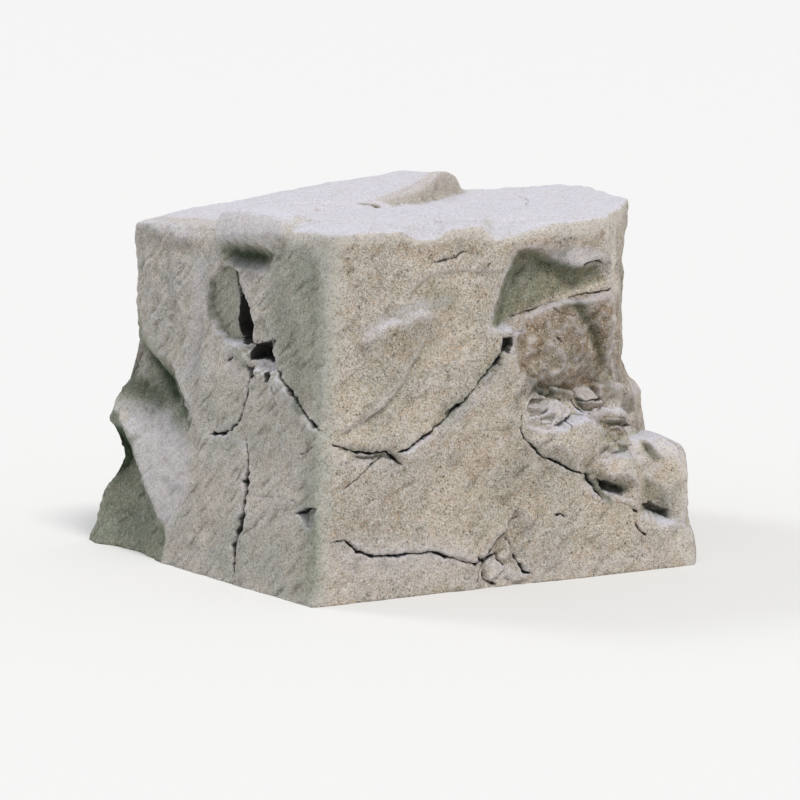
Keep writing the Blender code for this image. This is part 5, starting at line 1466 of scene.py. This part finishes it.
def grain_tree(material):
    """The tree that pits and roughens a skin along its normals."""
    tree = bpy.data.node_groups.new("Weathered grain", "GeometryNodeTree")
    sockets = tree.interface
    sockets.new_socket("Stone", in_out="OUTPUT", socket_type="NodeSocketGeometry")
    sockets.new_socket("Stone", in_out="INPUT", socket_type="NodeSocketGeometry")
    for name in ("Pit spacing", "Pit width", "Pit depth", "Grain size", "Grain height"):
        sockets.new_socket(name, in_out="INPUT", socket_type="NodeSocketFloat")
    sockets.new_socket("Seed", in_out="INPUT", socket_type="NodeSocketInt")
    given = add(tree, "NodeGroupInput").outputs
    place = add(tree, "GeometryNodeInputPosition").outputs["Position"]
    shift = add(tree, "ShaderNodeVectorMath", {0: SEED_SHIFT, "Scale": given["Seed"]},
                operation="SCALE").outputs["Vector"]
    moved = add(tree, "ShaderNodeVectorMath", {0: place, 1: shift},
                operation="ADD").outputs["Vector"]
    # Pits: a round dent in some of the cells of a Voronoi pattern.
    density = add(tree, "ShaderNodeMath", {0: 1.0, 1: given["Pit spacing"]},
                  operation="DIVIDE").outputs["Value"]
    cells = add(tree, "ShaderNodeTexVoronoi", {"Vector": moved, "Scale": density}).outputs
    radius = add(tree, "ShaderNodeMath", {0: given["Pit width"], 1: given["Pit spacing"]},
                 operation="DIVIDE").outputs["Value"]
    half = add(tree, "ShaderNodeMath", {0: radius, 1: 0.5}, operation="MULTIPLY").outputs["Value"]
    dent = add(tree, "ShaderNodeMapRange", {"Value": cells["Distance"], "From Min": 0.0,
                                            "From Max": half, "To Min": 1.0, "To Max": 0.0},
               interpolation_type="SMOOTHSTEP").outputs["Result"]
    lot = add(tree, "ShaderNodeSeparateXYZ", {0: cells["Color"]}).outputs["X"]
    chosen = add(tree, "ShaderNodeMapRange", {"Value": lot, "From Min": PITLESS, "From Max": 1.0,
                                              "To Min": 0.0, "To Max": 1.0}).outputs["Result"]
    pit = add(tree, "ShaderNodeMath", {0: dent, 1: chosen}, operation="MULTIPLY").outputs["Value"]
    depth = add(tree, "ShaderNodeMath", {0: pit, 1: given["Pit depth"]},
                operation="MULTIPLY").outputs["Value"]
    # Grain: noise about its middle value.
    fineness = add(tree, "ShaderNodeMath", {0: 1.0, 1: given["Grain size"]},
                   operation="DIVIDE").outputs["Value"]
    speck = add(tree, "ShaderNodeTexNoise", {"Vector": moved, "Scale": fineness,
                                             "Detail": 2.0}).outputs[0]
    level = add(tree, "ShaderNodeMath", {0: speck, 1: 0.5}, operation="SUBTRACT").outputs["Value"]
    height = add(tree, "ShaderNodeMath", {0: level, 1: given["Grain height"]},
                 operation="MULTIPLY").outputs["Value"]
    twice = add(tree, "ShaderNodeMath", {0: height, 1: 2.0}, operation="MULTIPLY").outputs["Value"]
    rise = add(tree, "ShaderNodeMath", {0: twice, 1: depth}, operation="SUBTRACT").outputs["Value"]
    normal = add(tree, "GeometryNodeInputNormal").outputs["Normal"]
    offset = add(tree, "ShaderNodeVectorMath", {0: normal, "Scale": rise},
                 operation="SCALE").outputs["Vector"]
    set_place = add(tree, "GeometryNodeSetPosition", {"Geometry": given["Stone"], "Offset": offset})
    coat = add(tree, "GeometryNodeSetMaterial", {"Geometry": set_place.outputs["Geometry"],
                                                 "Material": material})
    real = add(tree, "GeometryNodeRealizeInstances", {"Geometry": coat.outputs["Geometry"]})
    add(tree, "NodeGroupOutput", {"Stone": real.outputs["Geometry"]})
    return tree


def grain_the_skin(stone, shape, material):
    """Pit and roughen the stone with the Geometry Nodes tree and work the result in."""
    grain = stone.modifiers.new("Weathered grain", "NODES")
    grain.node_group = grain_tree(material)
    given = {"Pit spacing": shape.pit_spacing, "Pit width": shape.pit_width,
             "Pit depth": shape.pit_depth, "Grain size": shape.grain_size,
             "Grain height": shape.grain_height, "Seed": shape.seed}
    for socket in grain.node_group.interface.items_tree:
        if socket.in_out == "INPUT" and socket.name in given:
            grain[socket.identifier] = given[socket.name]
    work_in(stone)


def stone_patterns(tree):
    """Everything that the coats follow: the patterns, the masks and what faces the sky."""
    place = add(tree, "ShaderNodeTexCoord").outputs["Object"]
    patterns = {}
    for name, (size, detail, roughness) in CLOUDS.items():
        cloud = add(tree, "ShaderNodeTexNoise", {"Vector": place, "Scale": 1 / size,
                                                 "Detail": detail, "Roughness": roughness})
        patterns[name] = cloud.outputs["Fac"]
    for name, size in CRYSTALS.items():
        cells = add(tree, "ShaderNodeTexVoronoi", {"Vector": place, "Scale": 1 / size})
        lots = add(tree, "ShaderNodeSeparateColor", {0: cells.outputs["Color"]}).outputs
        patterns.update({f"{name} {number}": lots[number] for number in range(3)})
    for name in MASKS:
        patterns[name] = add(tree, "ShaderNodeAttribute", attribute_name=name).outputs["Fac"]
    normal = add(tree, "ShaderNodeNewGeometry").outputs["Normal"]
    patterns["facing"] = add(tree, "ShaderNodeSeparateXYZ", {0: normal}).outputs["Z"]
    return patterns


def coat_share(tree, patterns, steps):
    """How strongly a coat of colour covers: all its steps multiplied."""
    share = None
    for step in steps:
        if isinstance(step, tuple):
            name, low, high, bottom, top = step
            factor = add(tree, "ShaderNodeMapRange",
                         {"Value": patterns[name], "From Min": low, "From Max": high,
                          "To Min": bottom, "To Max": top},
                         interpolation_type="SMOOTHSTEP").outputs["Result"]
        else:
            factor = patterns.get(step, step)
        if share is None:
            share = factor
        else:
            share = add(tree, "ShaderNodeMath", {0: share, 1: factor},
                        operation="MULTIPLY").outputs["Value"]
    return share


def stone_material(colours):
    """Weathered granite, never cut or polished: dull, with 2 to 5 mm crystals.

    Pale feldspar and dark mica crystals speckle a sandy ground; the sky-facing skin has a pale
    bloom of dust and painted light, sheltered places a green film, painted shade and brown stain,
    the deepest hollows and the fine ridges' troughs painted shade, the ridges' crests painted
    light, the shaded sides a painted cool tint with lichen, lit ledges painted light, and open
    joints hold black dirt, with painted shade in the deep pockets.
    """
    material = bpy.data.materials.new("weathered granite")
    material.use_nodes = True
    tree = material.node_tree
    tree.nodes.clear()
    patterns = stone_patterns(tree)
    skin = colours.sand
    for colour, laid, *steps in COATS:
        skin = add(tree, "ShaderNodeMix", {0: coat_share(tree, patterns, steps), 6: skin,
                                           7: getattr(colours, colour)},
                   data_type="RGBA", blend_type=laid).outputs[2]
    rough = {}
    for name, strength, height in BUMPS:
        bump = add(tree, "ShaderNodeBump", {"Height": patterns[name], "Strength": strength,
                                            "Distance": height, **rough})
        rough = {"Normal": bump.outputs["Normal"]}
    dull = coat_share(tree, patterns, [("mottle", 0.2, 0.8, 0.84, 0.96)])
    shader = add(tree, "ShaderNodeBsdfPrincipled",
                 {"Base Color": skin, "Roughness": dull, "Specular IOR Level": 0.35, "IOR": 1.5,
                  **rough})
    add(tree, "ShaderNodeOutputMaterial", {"Surface": shader.outputs["BSDF"]})
    return material


def plain_material(name, colour, roughness):
    """A plain, even surface for the stage."""
    material = bpy.data.materials.new(name)
    material.use_nodes = True
    shader = material.node_tree.nodes["Principled BSDF"]
    shader.inputs["Base Color"].default_value = colour
    shader.inputs["Roughness"].default_value = roughness
    return material


# ---------------------------------------------------------------------------------------------
# Operators, panel and registration.
# ---------------------------------------------------------------------------------------------

class STONE_OT_boulder(bpy.types.Operator):
    """Make the boulder: fused blocks, relief, joints, grain and its material"""

    bl_idname = "stone.boulder"
    bl_label = "Boulder"

    def execute(self, context):
        shape = context.scene.boulder_shape
        material = stone_material(context.scene.boulder_colours)
        stone = rounded_mass(shape)
        carve(stone, shape)
        grain_the_skin(stone, shape, material)
        cut_at_ground(stone, shape)
        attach(stone, "root")
        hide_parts("boulder")
        return {"FINISHED"}


class STONE_OT_stage(bpy.types.Operator):
    """Make the floor, the soft lights and the camera"""

    bl_idname = "stone.stage"
    bl_label = "Stage"

    def execute(self, context):
        look = context.scene.stage_look
        lay_floor(look)
        light_the_stage(context.scene, look)
        place_camera(context.scene)
        return {"FINISHED"}


# The floor: how far it reaches in metres, its corners, and how dull it is.
FLOOR_RADIUS = 60.0
FLOOR_SIDES = 96
FLOOR_ROUGHNESS = 0.9

# The camera: how it stands round and above the boulder in degrees, how far off, and its lens.
VIEW_AZIMUTH = -28.3
VIEW_ELEVATION = 8.5
VIEW_DISTANCE = 8.0
VIEW_LENS_MM = 146.94
SENSOR_MM = 36.0
AIM = Vector((0.3175, 0.1468, 0.46)) - MIDDLE

# Which way the lights shine, how soft they are, and their colours.
KEY_DIRECTION = Vector((-0.02, 0.45, -0.80))
BACK_DIRECTION = Vector((0.35, -0.60, -0.70))
SOFTNESS = math.radians(16)
BACK_SHARE = 0.25
WARM_WHITE = (1.0, 0.975, 0.94)
COOL_WHITE = (0.96, 0.98, 1.0)


def lay_floor(look):
    """A wide, plain, pale floor."""
    bm = bmesh.new()
    bmesh.ops.create_circle(bm, cap_ends=True, segments=FLOOR_SIDES, radius=FLOOR_RADIUS)
    floor = new_object("floor", bm)
    paper = plain_material("pale matt paper", look.floor, FLOOR_ROUGHNESS)
    floor.data.materials.append(paper)


def shine(name, direction, strength, colour):
    """A soft light that shines one way over the whole stage."""
    light = bpy.data.lights.new(name, "SUN")
    light.energy = strength
    light.angle = SOFTNESS
    light.color = colour
    lamp = bpy.data.objects.new(name, light)
    lamp.rotation_euler = direction.to_track_quat("-Z", "Y").to_euler()
    bpy.context.collection.objects.link(lamp)


def light_the_stage(scene, look):
    """A broad key light from high in front, a weak one from behind, and even light all round."""
    shine("key", KEY_DIRECTION, look.key, WARM_WHITE)
    shine("back", BACK_DIRECTION, look.key * BACK_SHARE, COOL_WHITE)
    world = bpy.data.worlds.new("even light")
    world.use_nodes = True
    sky = world.node_tree.nodes["Background"]
    sky.inputs["Color"].default_value = (*COOL_WHITE, 1.0)
    sky.inputs["Strength"].default_value = look.fill
    scene.world = world
    scene.view_settings.view_transform = "Standard"


def place_camera(scene):
    """The camera at its standing place, looking at the boulder."""
    turn = math.radians(VIEW_AZIMUTH)
    rise = math.radians(VIEW_ELEVATION)
    back = Vector((math.sin(turn) * math.cos(rise), -math.cos(turn) * math.cos(rise),
                   math.sin(rise)))
    camera = bpy.data.objects.new("camera", bpy.data.cameras.new("camera"))
    camera.data.lens = VIEW_LENS_MM
    camera.data.sensor_width = SENSOR_MM
    camera.data.clip_end = 4 * FLOOR_RADIUS
    camera.location = AIM + back * VIEW_DISTANCE
    camera.rotation_euler = (-back).to_track_quat("-Z", "Y").to_euler()
    bpy.context.collection.objects.link(camera)
    scene.camera = camera


class STONE_PT_boulder(bpy.types.Panel):
    """Lists what makes the boulder and its stage"""

    bl_label = "Garden Boulder"
    bl_space_type = "VIEW_3D"
    bl_region_type = "UI"
    bl_category = "Boulder"

    def draw(self, context):
        layout = self.layout
        for operator, settings in ((STONE_OT_boulder, "boulder_shape"), (None, "boulder_colours"),
                                   (STONE_OT_stage, "stage_look")):
            group = getattr(context.scene, settings)
            for name in group.__annotations__:
                layout.prop(group, name)
            if operator:
                layout.operator(operator.bl_idname)


GROUPS = {"boulder_shape": BoulderShape, "boulder_colours": BoulderColours, "stage_look": StageLook}
CLASSES = (*GROUPS.values(), STONE_OT_boulder, STONE_OT_stage, STONE_PT_boulder)


def register():
    """Make the add-on's classes known to Blender."""
    for kind in CLASSES:
        bpy.utils.register_class(kind)
    for name, group in GROUPS.items():
        setattr(bpy.types.Scene, name, bpy.props.PointerProperty(type=group))


def unregister():
    """Take the add-on's classes away again."""
    for name in GROUPS:
        delattr(bpy.types.Scene, name)
    for kind in reversed(CLASSES):
        bpy.utils.unregister_class(kind)


def clear_start_up():
    """Take away the start-up scene's cube, light and camera, and keep the frame."""
    kept = set(frame["nodes"].values()) | set(frame["bodies"].values())
    for thing in set(bpy.data.objects) - kept:
        bpy.data.objects.remove(thing)


def main():
    """Register the add-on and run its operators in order."""
    register()
    clear_start_up()
    bpy.ops.stone.boulder()
    bpy.ops.stone.stage()


if __name__ == "__main__":
    main()
